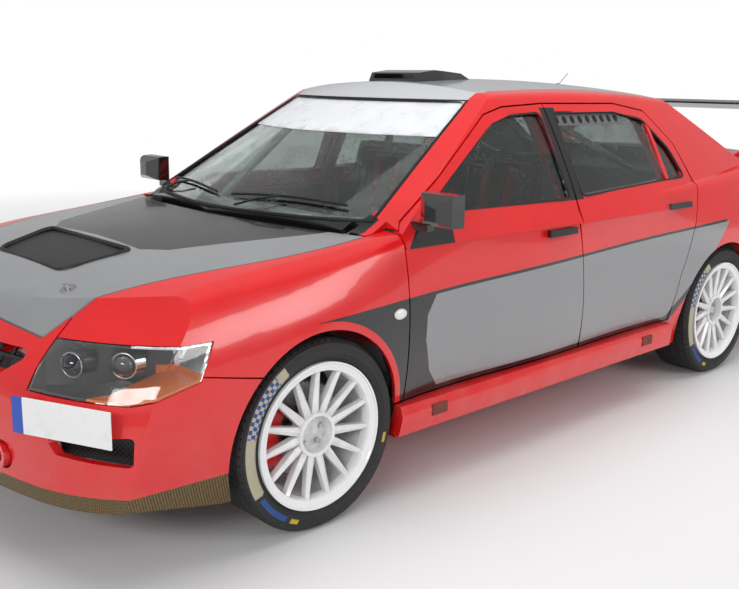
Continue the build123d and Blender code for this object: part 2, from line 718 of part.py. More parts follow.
def front_structure():
    """Inner wings, wheelhouse liners and strut towers, ahead of the firewall."""
    start = CABIN_FRONT + FIREWALL_T - 1
    wall = side_prism(((start, 300), (start, 868), (1700, 800), (BAY_FRONT, 620), (BAY_FRONT, 300)),
                      BAY_HALF_W, BAY_HALF_W + 22)
    liner = wheel_cylinder(FRONT_AXLE, WHEELHOUSE_R + 8, BAY_HALF_W, 825)
    liner = liner - wheel_cylinder(FRONT_AXLE, WHEELHOUSE_R, WHEELHOUSE_FRONT_Y, OUT_Y)
    liner = liner & box(FRONT_AXLE - 365, FRONT_AXLE + 330, 0, OUT_Y, 440, 900)
    post = box(DOOR_FRONT_X + 12, start + 1, 690, OUT_Y, 660, 868) & LOWER_SKIN
    side = wall - wheel_cylinder(FRONT_AXLE, WHEELHOUSE_R - 2, 0, OUT_Y) + liner + post
    beam = box(BAY_FRONT - 30, BAY_FRONT, -BAY_HALF_W - 22, BAY_HALF_W + 22, 300, 420)
    top = box(BAY_FRONT - 30, BAY_FRONT, -BAY_HALF_W - 22, BAY_HALF_W + 22, 590, 620)
    return [side, mirrored(side), beam, top]


def make_body_shell():
    """The welded body: floor, sills, firewall, pillars, rails and rear quarters."""
    cowl = plan_prism(((-FAR, -730), (1040, -730), (1200, 0), (1040, 730), (-FAR, 730)), 0, 2000)
    main = OUTER & (box(-FAR, DOOR_FRONT_X, -OUT_Y, OUT_Y, 0, 2000) + cowl)
    cabin = CABIN & box(CABIN_REAR, CABIN_FRONT, -OUT_Y, OUT_Y, 0, 2000)
    shelf = CABIN & box(-FAR, CABIN_REAR + 1, -OUT_Y, OUT_Y, SHELF_Z + 15, 2000)
    well = wheel_cylinder(REAR_AXLE, WHEELHOUSE_R + 10, WHEELHOUSE_REAR_Y - 10, OUT_Y)
    boot = boot_space() - [well, mirrored(well)]
    lid_under = Pos(LID_WALL + 8, 0, -LID_WALL - 8) * LOWER
    lid = (raised(boot_outline(), BOOT_LOW_Z - SHUT_GAP, 1200, grow=SHUT_GAP)) - lid_under
    lamp = tail_lamp_zone(RUNNING_GAP)
    bumper = side_prism((
        (-1480, 0),
        (-1554, 566),
        (-1700, REAR_BUMPER_TOP_Z + SHUT_GAP),
        (-2300, REAR_BUMPER_TOP_Z + SHUT_GAP),
        (-2300, 0),
    ), -OUT_Y, OUT_Y) - plan_prism(BOOT_BOX, 250, 800)
    cutters = [cabin, shelf, boot, lid, bumper, lamp, mirrored(lamp)]
    cutters += [box(CABIN_FRONT + FIREWALL_T, FAR, -OUT_Y, OUT_Y, 0, 900)]
    bonnet_gap = raised(bonnet_outline(), 0, 2000, grow=SHUT_GAP)
    cutters += [bonnet_gap & box(CABIN_FRONT + 1, FAR, -OUT_Y, OUT_Y, 880, 2000)]
    cutters += [box(-1600, -1000, -606, 606, 0, 300)]
    (x, z), (boot_x, boot_z) = BONNET_AXIS, BOOT_AXIS
    y0, y1 = BONNET_EYE_Y - EYE_SLOT / 2, BONNET_EYE_Y + EYE_SLOT / 2
    slot = box(x - 22, x + 36, y0, y1, z - 22, 2000)
    y0, y1 = BOOT_EYE_Y - EYE_SLOT / 2, BOOT_EYE_Y + EYE_SLOT / 2
    pocket = box(boot_x - 170, boot_x + 20, y0, y1, 900, boot_z + 22)
    cutters += [slot, mirrored(slot), pocket, mirrored(pocket)]
    for x, inner in ARCHES:
        wheelhouse = wheel_cylinder(x, WHEELHOUSE_R, inner, OUT_Y) & LOWER_SKIN
        arch = wheel_cylinder(x, ARCH_R, inner, OUT_Y)
        cutters += [wheelhouse, arch, mirrored(wheelhouse), mirrored(arch)]
    sides = side_structure()
    cutters += [sides, mirrored(sides), WINDSCREEN_PRISM, BACKLIGHT_PRISM, roof_cutter()]
    shell = main - cutters
    rear_pan = box(CABIN_REAR - 10, -960, -640, 640, FLOOR_Z + 20, 345)
    spots = [(x, s * JACK_Y) for x in JACK_XS for s in (1, -1)]
    pads = [box(x - 40, x + 40, y - 30, y + 30, JACK_Z, FLOOR_Z + 5) for x, y in spots]
    pins = []
    for (x, z), y in ((BONNET_AXIS, BONNET_EYE_Y), (BOOT_AXIS, BOOT_EYE_Y)):
        pin = wheel_cylinder(x, PIN_R, y - EYE_SLOT / 2 - 4, y + EYE_SLOT / 2 + 4, z)
        pins += [pin, mirrored(pin)]
    cover = box(boot_x - 60, boot_x + 30, y0 - 10, y1 + 10, SHELF_Z + 10, boot_z + 34) - pocket
    bumper_stay = box(-FAR, -2139, 300, 360, 420, 470) & LOWER_BUMPER
    covers = [cover, mirrored(cover), bumper_stay, mirrored(bumper_stay)]
    blocks = []
    for x0, x1 in DOOR_BLOCK_XS:
        for z in DOOR_BLOCK_ZS:
            block = box(x0, x1, 600, OUT_Y, z - 30, z + 30) & DOOR_SEAT
            blocks += [block, mirrored(block)]
    return biggest(shell.fuse(rear_pan, *pads, *covers, *pins, *blocks, *front_structure()))


HANDLE_OUT = 24
HANDLE_GAP = 12
FRONT_HANDLE = (80, 858)
REAR_HANDLE = (-832, 892)
QUARTER_BAR = ((-786, 1400), (-762, 1400), (-792, 900), (-816, 900))


def make_handle(x, z):
    """A pull handle on the left side, a loop that follows the door's skin."""
    bar = box(x - 90, x + 90, 780, OUT_Y, z - 13, z + 13) & (Pos(0, HANDLE_OUT, 0) * LOWER)
    gap = box(x - 62, x + 62, 780, OUT_Y, z - 14, z + 14) & (Pos(0, HANDLE_GAP, 0) * LOWER)
    return biggest(bar - LOWER - gap)


def window_prism(window):
    """A side window's opening; the rear one has a bar ahead of its quarter glass."""
    opening = side_prism(window, IN_Y, OUT_Y, round_r=WINDOW_ROUND)
    return opening - side_prism(QUARTER_BAR, IN_Y - 1, OUT_Y + 1)


def make_door(outline, window, edge, handle):
    """A left door: both skins as one thick panel, with its window cut, and its handle."""
    panel = OUTER & side_prism(outline, IN_Y, OUT_Y)
    panel = panel & ahead_of(edge)
    panel = panel - [DOOR_INNER, window_prism(window)]
    return biggest(panel + make_handle(*handle))


def make_pane(window):
    """A left side window, in two panes where a bar divides it."""
    return solid_of(PANES & window_prism(window))


def make_skirt():
    """The left side skirt, below the doors."""
    section = ((780, 226), (872, 232), (880, 300), (868, SILL_TOP - 8), (780, SILL_TOP - 8))
    face = front_prism(section, -800, 1030)
    skirt = face - LOWER
    for hole in arch_holes:
        skirt = skirt - hole
    return solid_of(skirt)


def turned(profile):
    """A ring about the front axle from points (radius, offset from the wheel's centre)."""
    ring = [Vector(FRONT_AXLE, WHEEL_Y + y, TYRE_R + r) for r, y in profile]
    face = Face(Wire.make_polygon(ring, close=True))
    return revolve(face, Axis((FRONT_AXLE, 0, TYRE_R), (0, 1, 0)), 360)


def about_axle(turn):
    """A turn about the front axle, in degrees."""
    return Pos(FRONT_AXLE, 0, TYRE_R) * Rot(0, turn, 0) * Pos(-FRONT_AXLE, 0, -TYRE_R)


def spoke_section(radius, half, back, side, ridge):
    """A spoke's five-sided cross section at a radius, pointing up from the axle."""
    points = ((-half, back), (half, back), (half, side), (0, ridge), (-half, side))
    return Face(Wire.make_polygon(
        [Vector(FRONT_AXLE + x, WHEEL_Y + y, TYRE_R + radius) for x, y in points], close=True))


LUG_HOLES = 5
LUG_RADIUS = 42
HUB_RECESS_R = 62


def make_wheel_rim():
    """The left front rim: barrel, outer lip, ridged spokes and a deep hub."""
    h = RIM_W / 2
    inner = RIM_BARREL_R - RIM_WALL
    rim = turned((
        (RIM_R, h), (RIM_R - 5, h), (RIM_R - 8, h - 5), (inner + 2, h - 9), (inner - 1, h - 15),
        (inner - 5, h - 44), (inner, h - 50), (inner, 24 - h), (RIM_R - 14, 5 - h), (RIM_R - 5, -h),
        (RIM_R, -h), (RIM_R, 12 - h), (RIM_BARREL_R, 12 - h), (RIM_BARREL_R, h - 12), (RIM_R, h - 12),
    ))
    y1 = WHEEL_Y + h
    hub = wheel_cylinder(FRONT_AXLE, HUB_R, y1 - 74, y1 - 22)
    hub = hub - wheel_cylinder(FRONT_AXLE, HUB_RECESS_R, y1 - 60, y1)
    sections = [
        spoke_section(HUB_R - 7, 15, h - 62, h - 36, h - 27),
        spoke_section(inner + 4, 8, h - 42, h - 22, h - 12),
    ]
    spoke = loft(sections, ruled=True)
    spokes = [about_axle(360 * i / SPOKES) * spoke for i in range(SPOKES)]
    rim = rim.fuse(hub, *spokes)
    lugs = []
    for i in range(LUG_HOLES):
        lug = Pos(0, 0, LUG_RADIUS) * wheel_cylinder(FRONT_AXLE, 9, y1 - 90, y1)
        lugs.append(about_axle(360 * i / LUG_HOLES) * lug)
    return biggest(rim - lugs)


def make_tyre():
    """The left front tyre, a ring with rounded shoulders."""
    half = TYRE_W / 2
    seat = RIM_W / 2 - 12
    side = ((RIM_BARREL_R, seat), (RIM_R + 4, seat), (TYRE_R - 46, half),
            (TYRE_R - 13, half - 7), (TYRE_R, half - 27))
    return turned([(r, -y) for r, y in side] + list(reversed(side)))


def make_disc():
    """The left front brake disc and its bell."""
    y = DISC_Y
    disc = wheel_cylinder(FRONT_AXLE, DISC_R, y - DISC_T / 2, y + DISC_T / 2)
    return disc + wheel_cylinder(FRONT_AXLE, 78, y, WHEEL_Y + RIM_W / 2 - 34 - 40)


def make_caliper(x):
    """A left brake caliper ahead of the axle at x, and the link that holds it."""
    y = DISC_Y - DISC_T / 2 - 3
    caliper = wheel_cylinder(x, 200, y - 34, y + DISC_T + 30)
    caliper = caliper - wheel_cylinder(x, 120, y - 40, y + DISC_T + 50)
    caliper = caliper & box(x + 80, x + 250, 0, OUT_Y, TYRE_R - 90, TYRE_R + 90)
    caliper = caliper - wheel_cylinder(x, DISC_R + 5, y - 3, y + DISC_T + 9)
    return caliper + box(x + 20, x + 130, y - 34, y - 12, TYRE_R - 30, TYRE_R + 30)


def make_knuckle():
    """The left front knuckle: the upright behind the disc, and its caliper."""
    y = DISC_Y - DISC_T / 2 - 3
    upright = wheel_cylinder(FRONT_AXLE, 52, y - 46, y)
    upright += wheel_cylinder(FRONT_AXLE, 36, y - 10, DISC_Y - DISC_T / 2 - RUNNING_GAP)
    upright += box(FRONT_AXLE - 26, FRONT_AXLE + 26, y - 52, y - 22, TYRE_R - 106, TYRE_R + 160)
    return upright + make_caliper(FRONT_AXLE)


def make_mirror():
    """The left door mirror on its arm, tapered forwards, with a recess for its glass."""
    shape = ((838, 840), (838, 1010), (905, 1002), (934, 960), (934, 905), (900, 852))
    head = plan_prism(shape, 964, 1076, round_r=18) & side_prism(
        ((838, 964), (838, 1076), (890, 1074), (940, 1046), (940, 990), (900, 966)), 800, OUT_Y, round_r=10)
    head = head - box(830, 846, 852, 998, 976, 1064)
    return biggest(head + (box(850, 884, 740, 872, 940, 968) - OUTER))


def tube(points, radius=TUBE_R, bend=90):
    """A round tube along points, bent at its corners."""
    line = FilletPolyline(*points, radius=bend) if len(points) > 2 else Line(*points)
    start = line % 0
    ring = Plane(origin=line @ 0, z_dir=start) * Circle(radius)
    return sweep(ring, path=line)


CAGE_X = -300
CAGE_FOOT_Y = 632
CAGE_TOP_Z = 1316
CAGE_SCREEN_Z = 1284


def make_cage():
    """The main hoop, with its cross bar."""
    floor = FLOOR_Z + FLOOR_T
    half = [(CAGE_X, CAGE_FOOT_Y, floor), (CAGE_X, CAGE_FOOT_Y, 880), (CAGE_X, 480, CAGE_TOP_Z)]
    hoop = tube(half + [(x, -y, z) for x, y, z in reversed(half)])
    return hoop + tube([(CAGE_X, CAGE_FOOT_Y, 640), (CAGE_X, -CAGE_FOOT_Y, 640)], BRACE_R)


def make_cage_sides(hoop):
    """The bars from the floor up the windscreen pillars and back to the hoop."""
    bars = []
    for s in (1, -1):
        points = [
            (850, s * CAGE_FOOT_Y, FLOOR_Z + FLOOR_T),
            (850, s * CAGE_FOOT_Y, 780),
            (330, s * 470, CAGE_SCREEN_Z),
            (CAGE_X, s * 440, CAGE_TOP_Z),
        ]
        bars.append(biggest(tube(points, BRACE_R) - hoop))
    return Compound(bars)


def make_cage_braces(others):
    """The stays behind the hoop, the door bars and the bar over the windscreen."""
    lines = [[(330, 470, CAGE_SCREEN_Z), (330, -470, CAGE_SCREEN_Z)]]
    for s in (1, -1):
        lines.append([(CAGE_X, s * 400, CAGE_TOP_Z), (CABIN_REAR + 60, s * 400, 1010)])
        lines.append([(850, s * CAGE_FOOT_Y, 330), (CAGE_X, s * CAGE_FOOT_Y, 600)])
    return Compound([biggest(tube(line, BRACE_R - 2) - others) for line in lines])


def make_seat(y):
    """One bucket seat, a moulded shell open to the front."""
    side = ((SEAT_X - 60, 300), (SEAT_X + 430, 300), (SEAT_X + 440, 470), (SEAT_X + 60, 560),
            (SEAT_X - 120, 1130), (SEAT_X - 230, 1130))
    outer = side_prism(side, y - SEAT_W / 2, y + SEAT_W / 2, round_r=30)
    hollow = ((SEAT_X - 30, 345), (SEAT_X + 600, 385), (SEAT_X + 600, 1300), (SEAT_X - 200, 1300))
    inner = side_prism(hollow, y - SEAT_W / 2 + SEAT_WALL * 2, y + SEAT_W / 2 - SEAT_WALL * 2, round_r=24)
    legs = box(SEAT_X - 20, SEAT_X + 380, y - 190, y - 160, FLOOR_Z + FLOOR_T, 302)
    legs += box(SEAT_X - 20, SEAT_X + 380, y + 160, y + 190, FLOOR_Z + FLOOR_T, 302)
    return outer - inner + legs


def make_dashboard():
    """The dashboard, from door to door behind the windscreen."""
    side = ((CABIN_FRONT, 560), (CABIN_FRONT, 900), (900, 915), (700, 880), (660, 760), (760, 640))
    return side_prism(side, -562, 562, round_r=18)


def make_steering_wheel():
    """The steering wheel on its column."""
    tilt = Pos(520, SEAT_Y, 800) * Rot(0, -66, 0)
    wheel = tilt * Torus(STEERING_WHEEL_R, 15)
    wheel += tilt * Cylinder(32, 30)
    for turn in (0, 120, 240):
        wheel += tilt * Rot(0, 0, turn) * Pos(STEERING_WHEEL_R / 2, 0, 0) * Box(STEERING_WHEEL_R, 26, 6)
    column = tilt * Pos(0, 0, -105) * Cylinder(18, 200)
    return solid_of((wheel + column) - make_dashboard())


def make_engine():
    """The engine, one plain block at its real place."""
    return box(1120, 1560, -330, 330, 260, 780)


def coil_over(x, y, low):
    """A damper with its coil spring, from low up to the wheelhouse at (x, y)."""
    axle = FRONT_AXLE if x > 0 else REAR_AXLE
    damper = Pos(x, y, (low + 720) / 2) * Cylinder(DAMPER_R, 720 - low)
    damper = damper & wheel_cylinder(axle, WHEELHOUSE_R, -OUT_Y, OUT_Y)
    return damper


def coil_spring(x, y, low, high):
    """A coil spring, as the stack of its turns."""
    step = (high - low) / COILS
    ring = []
    for i in range(COILS):
        z = low + i * step
        ring += [(DAMPER_R + 8, z), (SPRING_R, z + step / 2)]
    profile = [(0, low)] + ring + [(DAMPER_R + 8, high), (0, high)]
    face = Face(Wire.make_polygon([Vector(x + r, y, z) for r, z in profile], close=True))
    return revolve(face, Axis((x, y, 0), (0, 0, 1)), 360)


DAMPER_R = 15
SPRING_R = 34
COILS = 6
STRUT_X = FRONT_AXLE - 50
STRUT_Y = 555


def make_front_suspension():
    """Subframe, lower arms, coil-overs and drive shafts of the front axle."""
    parts = [box(FRONT_AXLE - 160, FRONT_AXLE + 120, -330, 330, 186, 236)]
    for s in (1, -1):
        parts.append(plan_prism((
            (FRONT_AXLE - 150, s * 300),
            (FRONT_AXLE + 100, s * 300),
            (FRONT_AXLE + 24, s * (KINGPIN_Y - 4)),
            (FRONT_AXLE - 24, s * (KINGPIN_Y - 4)),
        ), 186, 206))
        top = TYRE_R - 106 - RUNNING_GAP
        parts.append(Pos(FRONT_AXLE, s * KINGPIN_Y, (top + 196) / 2) * Cylinder(11, top - 196))
        parts.append(box(FRONT_AXLE - 120, FRONT_AXLE - 60, s * 200, s * 260, 230, 260))
        parts.append(box(CABIN_FRONT + FIREWALL_T, FRONT_AXLE - 150, s * 240, s * 300, 204, 234))
        parts.append(coil_over(STRUT_X, s * STRUT_Y, 200))
        parts.append(coil_spring(STRUT_X, s * STRUT_Y, 430, 660))
        parts.append(box(FRONT_AXLE - 22, FRONT_AXLE + 22, s * 330.3, s * 372, 196, TYRE_R + 22))
        parts.append(wheel_cylinder(FRONT_AXLE, 14, s * 360, s * 652))
    return parts[0].fuse(*parts[1:])


def make_rear_suspension():
    """Subframe, arms, uprights, dampers and calipers of the rear axle."""
    parts = [box(REAR_AXLE - 200, REAR_AXLE + 80, -360, 360, 188, 290)]
    caliper = make_caliper(REAR_AXLE)
    for s in (1, -1):
        parts.append(box(REAR_AXLE - 180, REAR_AXLE - 120, s * 270, s * 340, 280, 300))
        parts.append(box(REAR_AXLE - 40, REAR_AXLE + 40, s * 340, s * 700, 190, 214))
        parts.append(box(REAR_AXLE - 26, REAR_AXLE + 26, s * 676, s * 728, 190, TYRE_R + 150))
        end = DISC_Y - DISC_T / 2 - RUNNING_GAP
        parts.append(wheel_cylinder(REAR_AXLE, 36, s * 700, s * end))
        parts.append(coil_over(REAR_AXLE, s * 622, 206))
        parts.append(caliper if s > 0 else mirrored(caliper))
    return parts[0].fuse(*parts[1:])


def make_radiator():
    """The radiator, against the front cross member."""
    return box(1968, BAY_FRONT - 30, -340, 340, 306, 586)


def make_sump_guard():
    """The plate under the engine, raised towards the nose."""
    side = ((1180, 176), (1700, 176), (2010, 240), (2010, 248), (1698, 186), (1180, 186))
    return side_prism(side, -320, 320)


def make_exhaust():
    """The rear silencer and tail pipe under the boot floor."""
    silencer = fillet(box(-2000, -1700, -620, -440, 172, 228).edges().filter_by(Axis.X), 20)
    pipe = Pos(-2110, -530, 208) * Rot(0, 90, 0) * Cylinder(28, 250)
    pipe = pipe - Pos(-2140, -530, 208) * Rot(0, 90, 0) * Cylinder(24, 250)
    hangers = [box(x, x + 24, -542, -518, 220, 250) for x in (-1960, -1760)]
    return silencer.fuse(pipe, *hangers)


PLATE_YAW = 25
PLATE_CENTRE = (2127, 680, 508)
PLATE_SIZE = (338, 108)


def make_front_plate():
    """The front plate, blank, on the bumper's left corner."""
    x, y, z = PLATE_CENTRE
    place = Pos(x, y, z) * Rot(0, 0, PLATE_YAW)
    length, height = PLATE_SIZE
    plate = place * Box(4, length, height)
    brackets = [place * Pos(-30, side * 60, 0) * Box(58, 30, 40) for side in (1, -1)]
    brackets = [biggest(bracket - LOWER) for bracket in brackets]
    return plate.fuse(*brackets)


def make_rear_plate():
    """The rear plate, blank, on the boot lid."""
    plate = side_prism(((-2222, 770), (-2218, 770), (-2200, 880), (-2204, 880)), -220, 220)
    brackets = []
    for y in (-150, 150):
        block = side_prism(((-2216, 790), (-2170, 790), (-2170, 850), (-2206, 850)), y - 20, y + 20)
        brackets.append(biggest(block - LOWER))
    return plate.fuse(*brackets)


def make_tow_eyes():
    """The towing eyes: a boss that faces forwards at the nose, a ring at the tail."""
    x, y, z = TOW_FRONT
    axis = Pos(x, y, z) * Rot(0, 90, 0)
    boss = axis * Cylinder(TOW_EYE_R, TOW_BOSS)
    boss = boss + box(BAY_FRONT, x, y - TOW_PLATE / 2, y + TOW_PLATE / 2, z - 37, z - 24)
    boss = boss - axis * Cylinder(TOW_BORE_R, 2 * TOW_BOSS)
    x, y, z = TOW_REAR
    y0, y1 = y - TOW_PLATE / 2, y + TOW_PLATE / 2
    ring = wheel_cylinder(x, TOW_EYE_R, y0, y1, z) + box(x, x + 116, y0, y1, z - 14, z + 14)
    ring = ring - wheel_cylinder(x, TOW_BORE_R, y - TOW_PLATE, y + TOW_PLATE, z)
    ring = ring + box(x + 44, x + 116, y0, y1, z, 250)
    return Compound([biggest(boss), biggest(ring)])


def make_wing():
    """The tall rear wing on its end plates and two stays."""
    blade = ((-2228, 1298), (-2226, 1318), (-2080, 1352), (-1990, 1340), (-1990, 1330), (-2080, 1330))
    wing = side_prism(blade, -655, 655, round_r=3)
    plate = (
        (-2236, 1290), (-2232, 1362), (-1960, 1372), (-1880, 1120),
        (-1870, 1062), (-2080, 1062), (-2150, 1200),
    )
    foot = ((540, 1040), (592, 1040), (592, 1062), (673, 1062), (673, 1084), (600, 1084))
    for s in (1, -1):
        wing = wing + side_prism(plate, s * 655, s * 673, round_r=8)
        wing = wing + (front_prism([(s * y, z) for y, z in foot], -2060, -1900) - LOWER)
    return wing


def make_roof_vent():
    """The roof scoop near the windscreen, with its mouth and its tapered tail."""
    side = ((225, 1412), (196, 1474), (100, 1486), (-100, 1474), (-190, 1444), (-190, 1412))
    plan = ((240, -150), (240, 150), (40, 150), (-200, 104), (-200, -104), (40, -150))
    scoop = side_prism(side, -160, 160, round_r=12) & plan_prism(plan, 1400, 1500, round_r=20)
    return biggest(scoop - UPPER - box(110, 300, -126, 126, 1448, 1468))


PANES = glass_shell(GLASS_SETBACK, GLASS)
CAGE = make_cage()
CAGE_SIDES = make_cage_sides(CAGE)

NODES = {
    "body_shell": make_body_shell(),
    "roof_panel": UPPER & roof_cutter(),
    "bonnet": make_bonnet(),
    "bonnet_vent": make_bonnet_vent(),
    "boot_lid": make_boot_lid(),
    "rear_wing": make_wing(),
    "front_bumper": make_front_bumper(),
    "front_lip": make_front_lip(),
    "rear_bumper": make_rear_bumper(),
    "windscreen": PANES & WINDSCREEN_PRISM,
    "backlight": PANES & BACKLIGHT_PRISM,
    "roof_scoop": make_roof_vent(),
    "roll_cage": CAGE,
    "cage_side_bars": CAGE_SIDES,
    "cage_braces": make_cage_braces([CAGE, CAGE_SIDES]),
    "seats": make_seat(SEAT_Y) + make_seat(-SEAT_Y),
    "dashboard": make_dashboard(),
    "steering_wheel": make_steering_wheel(),
    "engine_block": make_engine(),
    "front_suspension": make_front_suspension(),
    "rear_suspension": make_rear_suspension(),
    "tow_eyes": make_tow_eyes(),
    "bumper_grilles": make_grilles(),
    "radiator": make_radiator(),
    "sump_guard": make_sump_guard(),
    "exhaust": make_exhaust(),
    "front_plate": make_front_plate(),
    "rear_plate": make_rear_plate(),
}

LEFT_PIECES = {
    "front_wings": make_front_wing(),
    "side_skirts": make_skirt(),
    "headlamp_lenses": make_headlamp_lens(),
    "headlamp_housings": make_headlamp_housing(),
    "tail_lamps": make_tail_lamp(),
}
for name, piece in LEFT_PIECES.items():
    NODES[name] = both(piece)

TURNING_PIECES = {
    "front_door": make_door(FRONT_DOOR, FRONT_WINDOW, FRONT_DOOR[5:8], FRONT_HANDLE),
    "rear_door": make_door(REAR_DOOR, REAR_WINDOW, REAR_DOOR[3:10], REAR_HANDLE),
    "front_window": make_pane(FRONT_WINDOW),
    "rear_window": make_pane(REAR_WINDOW),
    "door_mirror": make_mirror(),
    "front_knuckle": make_knuckle(),
}
for name, piece in TURNING_PIECES.items():
    NODES[name + "_left"] = piece
    NODES[name + "_right"] = mirrored(piece)

WHEEL_PIECES = {"rim": make_wheel_rim(), "tyre": make_tyre(), "brake_disc": make_disc()}
for name, piece in WHEEL_PIECES.items():
    for end, shift in (("front", 0), ("rear", REAR_AXLE - FRONT_AXLE)):
        moved = Pos(shift, 0, 0) * piece
        NODES[f"{end}_{name}_left"] = moved
        NODES[f"{end}_{name}_right"] = mirrored(moved)

os.makedirs("parts", exist_ok=True)
for name, piece in NODES.items():
    export_step(solid_of(piece), f"parts/{name}.step")
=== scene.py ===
import math

import bmesh
import bpy
from mathutils import Matrix, Vector


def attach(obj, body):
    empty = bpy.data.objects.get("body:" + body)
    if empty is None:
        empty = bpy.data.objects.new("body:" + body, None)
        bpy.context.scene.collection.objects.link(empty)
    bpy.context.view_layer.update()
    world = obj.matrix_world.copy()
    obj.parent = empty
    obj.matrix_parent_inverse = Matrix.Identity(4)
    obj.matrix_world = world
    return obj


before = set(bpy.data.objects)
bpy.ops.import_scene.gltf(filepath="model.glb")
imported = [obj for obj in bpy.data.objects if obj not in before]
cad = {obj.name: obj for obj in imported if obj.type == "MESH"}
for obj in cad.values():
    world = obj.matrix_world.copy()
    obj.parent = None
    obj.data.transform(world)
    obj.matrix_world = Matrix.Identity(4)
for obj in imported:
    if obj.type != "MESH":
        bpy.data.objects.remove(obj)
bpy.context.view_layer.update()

scene = bpy.context.scene
scene.view_settings.view_transform = "Standard"


# Studio
# The camera stands ahead of the left front wheel, at chest height. The floor is a plain
# pale studio floor, which keeps the car's shadow and fades out to white.
PHOTO_WIDTH, PHOTO_HEIGHT = 739, 589
FOCAL_PIXELS, LENS_AXIS, SENSOR_WIDTH = 939.387, (361.207, 278.708), 36
CAMERA_PLACE = (3.1774, 3.0394, 1.4471)
camera = bpy.data.objects.new("camera", bpy.data.cameras.new("camera"))
scene.collection.objects.link(camera)
scene.camera = camera
heading, dip, tilt = math.radians(-132.5938), math.radians(12.0481), math.radians(-0.757)
ahead = Vector((math.cos(heading) * math.cos(dip), math.sin(heading) * math.cos(dip), -math.sin(dip)))
right = Vector((math.sin(heading), -math.cos(heading), 0))
down = ahead.cross(right)
right, down = (right * math.cos(tilt) + down * math.sin(tilt),
               down * math.cos(tilt) - right * math.sin(tilt))
camera.matrix_world = (Matrix.Translation(CAMERA_PLACE)
                       @ Matrix((right, -down, -ahead)).transposed().to_4x4())
camera.data.sensor_width = SENSOR_WIDTH
camera.data.lens = FOCAL_PIXELS * SENSOR_WIDTH / PHOTO_WIDTH
camera.data.shift_x = (PHOTO_WIDTH / 2 - LENS_AXIS[0]) / PHOTO_WIDTH
camera.data.shift_y = (LENS_AXIS[1] - PHOTO_HEIGHT / 2) / PHOTO_WIDTH


def new_finish(name):
    """A material, its node tree and its shader, ready for the finish's own nodes."""
    material = bpy.data.materials.new(name)
    material.use_nodes = True
    tree = material.node_tree
    return material, tree, tree.nodes["Principled BSDF"]


def feed(tree, node, **sockets):
    """Links or sets a node's inputs: i0, i1 and so on by number, other words by name."""
    for key, value in sockets.items():
        by_number = key[0] == "i" and key[1:].isdigit()
        target = node.inputs[int(key[1:])] if by_number else node.inputs[key.replace("_", " ")]
        if isinstance(value, bpy.types.NodeSocket):
            tree.links.new(value, target)
        else:
            target.default_value = value


def put(tree, kind, settings=None, **sockets):
    """Adds a node with its settings, and feeds its inputs."""
    node = tree.nodes.new(kind)
    for key, value in (settings or {}).items():
        setattr(node, key, value)
    feed(tree, node, **sockets)
    return node


def worked_out(tree, operation, first, second=0.0):
    """One Math node's result."""
    return put(tree, "ShaderNodeMath", {"operation": operation}, i0=first, i1=second).outputs[0]


def rises(tree, value, start, end, low=0.0, high=1.0):
    """A value that goes from low to high as another goes from start to end."""
    return put(tree, "ShaderNodeMapRange", None, Value=value, From_Min=start, From_Max=end,
               To_Min=low, To_Max=high).outputs[0]


def mixed(tree, mask, first, second):
    """The first colour where the mask is 0, and the second where it is 1."""
    node = put(tree, "ShaderNodeMix", {"data_type": "RGBA"}, i0=mask, i6=first, i7=second)
    return node.outputs[2]


def times(tree, first, second):
    """Two values multiplied."""
    return worked_out(tree, "MULTIPLY", first, second)


def own_place(tree):
    """Where a point lies in the piece's own coordinates."""
    return put(tree, "ShaderNodeTexCoord").outputs["Object"]


def distance_of(tree, spot):
    """How far a place is from the origin."""
    return put(tree, "ShaderNodeVectorMath", {"operation": "LENGTH"}, i0=spot).outputs["Value"]


FLOOR_SIZE, FADE_STARTS, FADE_ENDS = 120, 3.2, 8.5
bpy.ops.mesh.primitive_plane_add(size=FLOOR_SIZE)
floor = bpy.context.object
floor.name = "studio_floor"
floor_finish, tree, shader = new_finish("studio_floor_paint")
feed(tree, shader, Base_Color=(0.74, 0.74, 0.75, 1), Roughness=0.62)
place = own_place(tree)
path = put(tree, "ShaderNodeLightPath")
seen = worked_out(tree, "MAXIMUM", path.outputs["Is Camera Ray"], path.outputs["Is Glossy Ray"])
seen = worked_out(tree, "MAXIMUM", seen, path.outputs["Is Transmission Ray"])
fade = times(tree, rises(tree, distance_of(tree, place), FADE_STARTS, FADE_ENDS), seen)
glow = put(tree, "ShaderNodeEmission", None, Color=(1, 1, 1, 1), Strength=1.0)
blend = put(tree, "ShaderNodeMixShader", None, i0=fade, i1=shader.outputs[0], i2=glow.outputs[0])
tree.links.new(blend.outputs[0], tree.nodes["Material Output"].inputs["Surface"])
floor.data.materials.append(floor_finish)

world = bpy.data.worlds.new("studio_air")
scene.world = world
world.use_nodes = True
tree = world.node_tree
path = put(tree, "ShaderNodeLightPath")
seen = worked_out(tree, "MAXIMUM", path.outputs["Is Camera Ray"], path.outputs["Is Transmission Ray"])
air = tree.nodes["Background"]
air.inputs["Color"].default_value = (1, 1, 1, 1)
tree.links.new(rises(tree, seen, 0, 1, 0.42, 1.0), air.inputs["Strength"])


def studio_lamp(name, place, target, width, depth, power, mirrored=True):
    """A soft rectangular lamp that faces a target; not every lamp shows in glossy paint."""
    lamp = bpy.data.objects.new(name, bpy.data.lights.new(name, "AREA"))
    lamp.data.shape = "RECTANGLE"
    lamp.data.size, lamp.data.size_y, lamp.data.energy = width, depth, power
    turn = (Vector(target) - Vector(place)).to_track_quat("-Z", "Y")
    lamp.matrix_world = Matrix.Translation(place) @ turn.to_matrix().to_4x4()
    lamp.visible_glossy = mirrored
    scene.collection.objects.link(lamp)


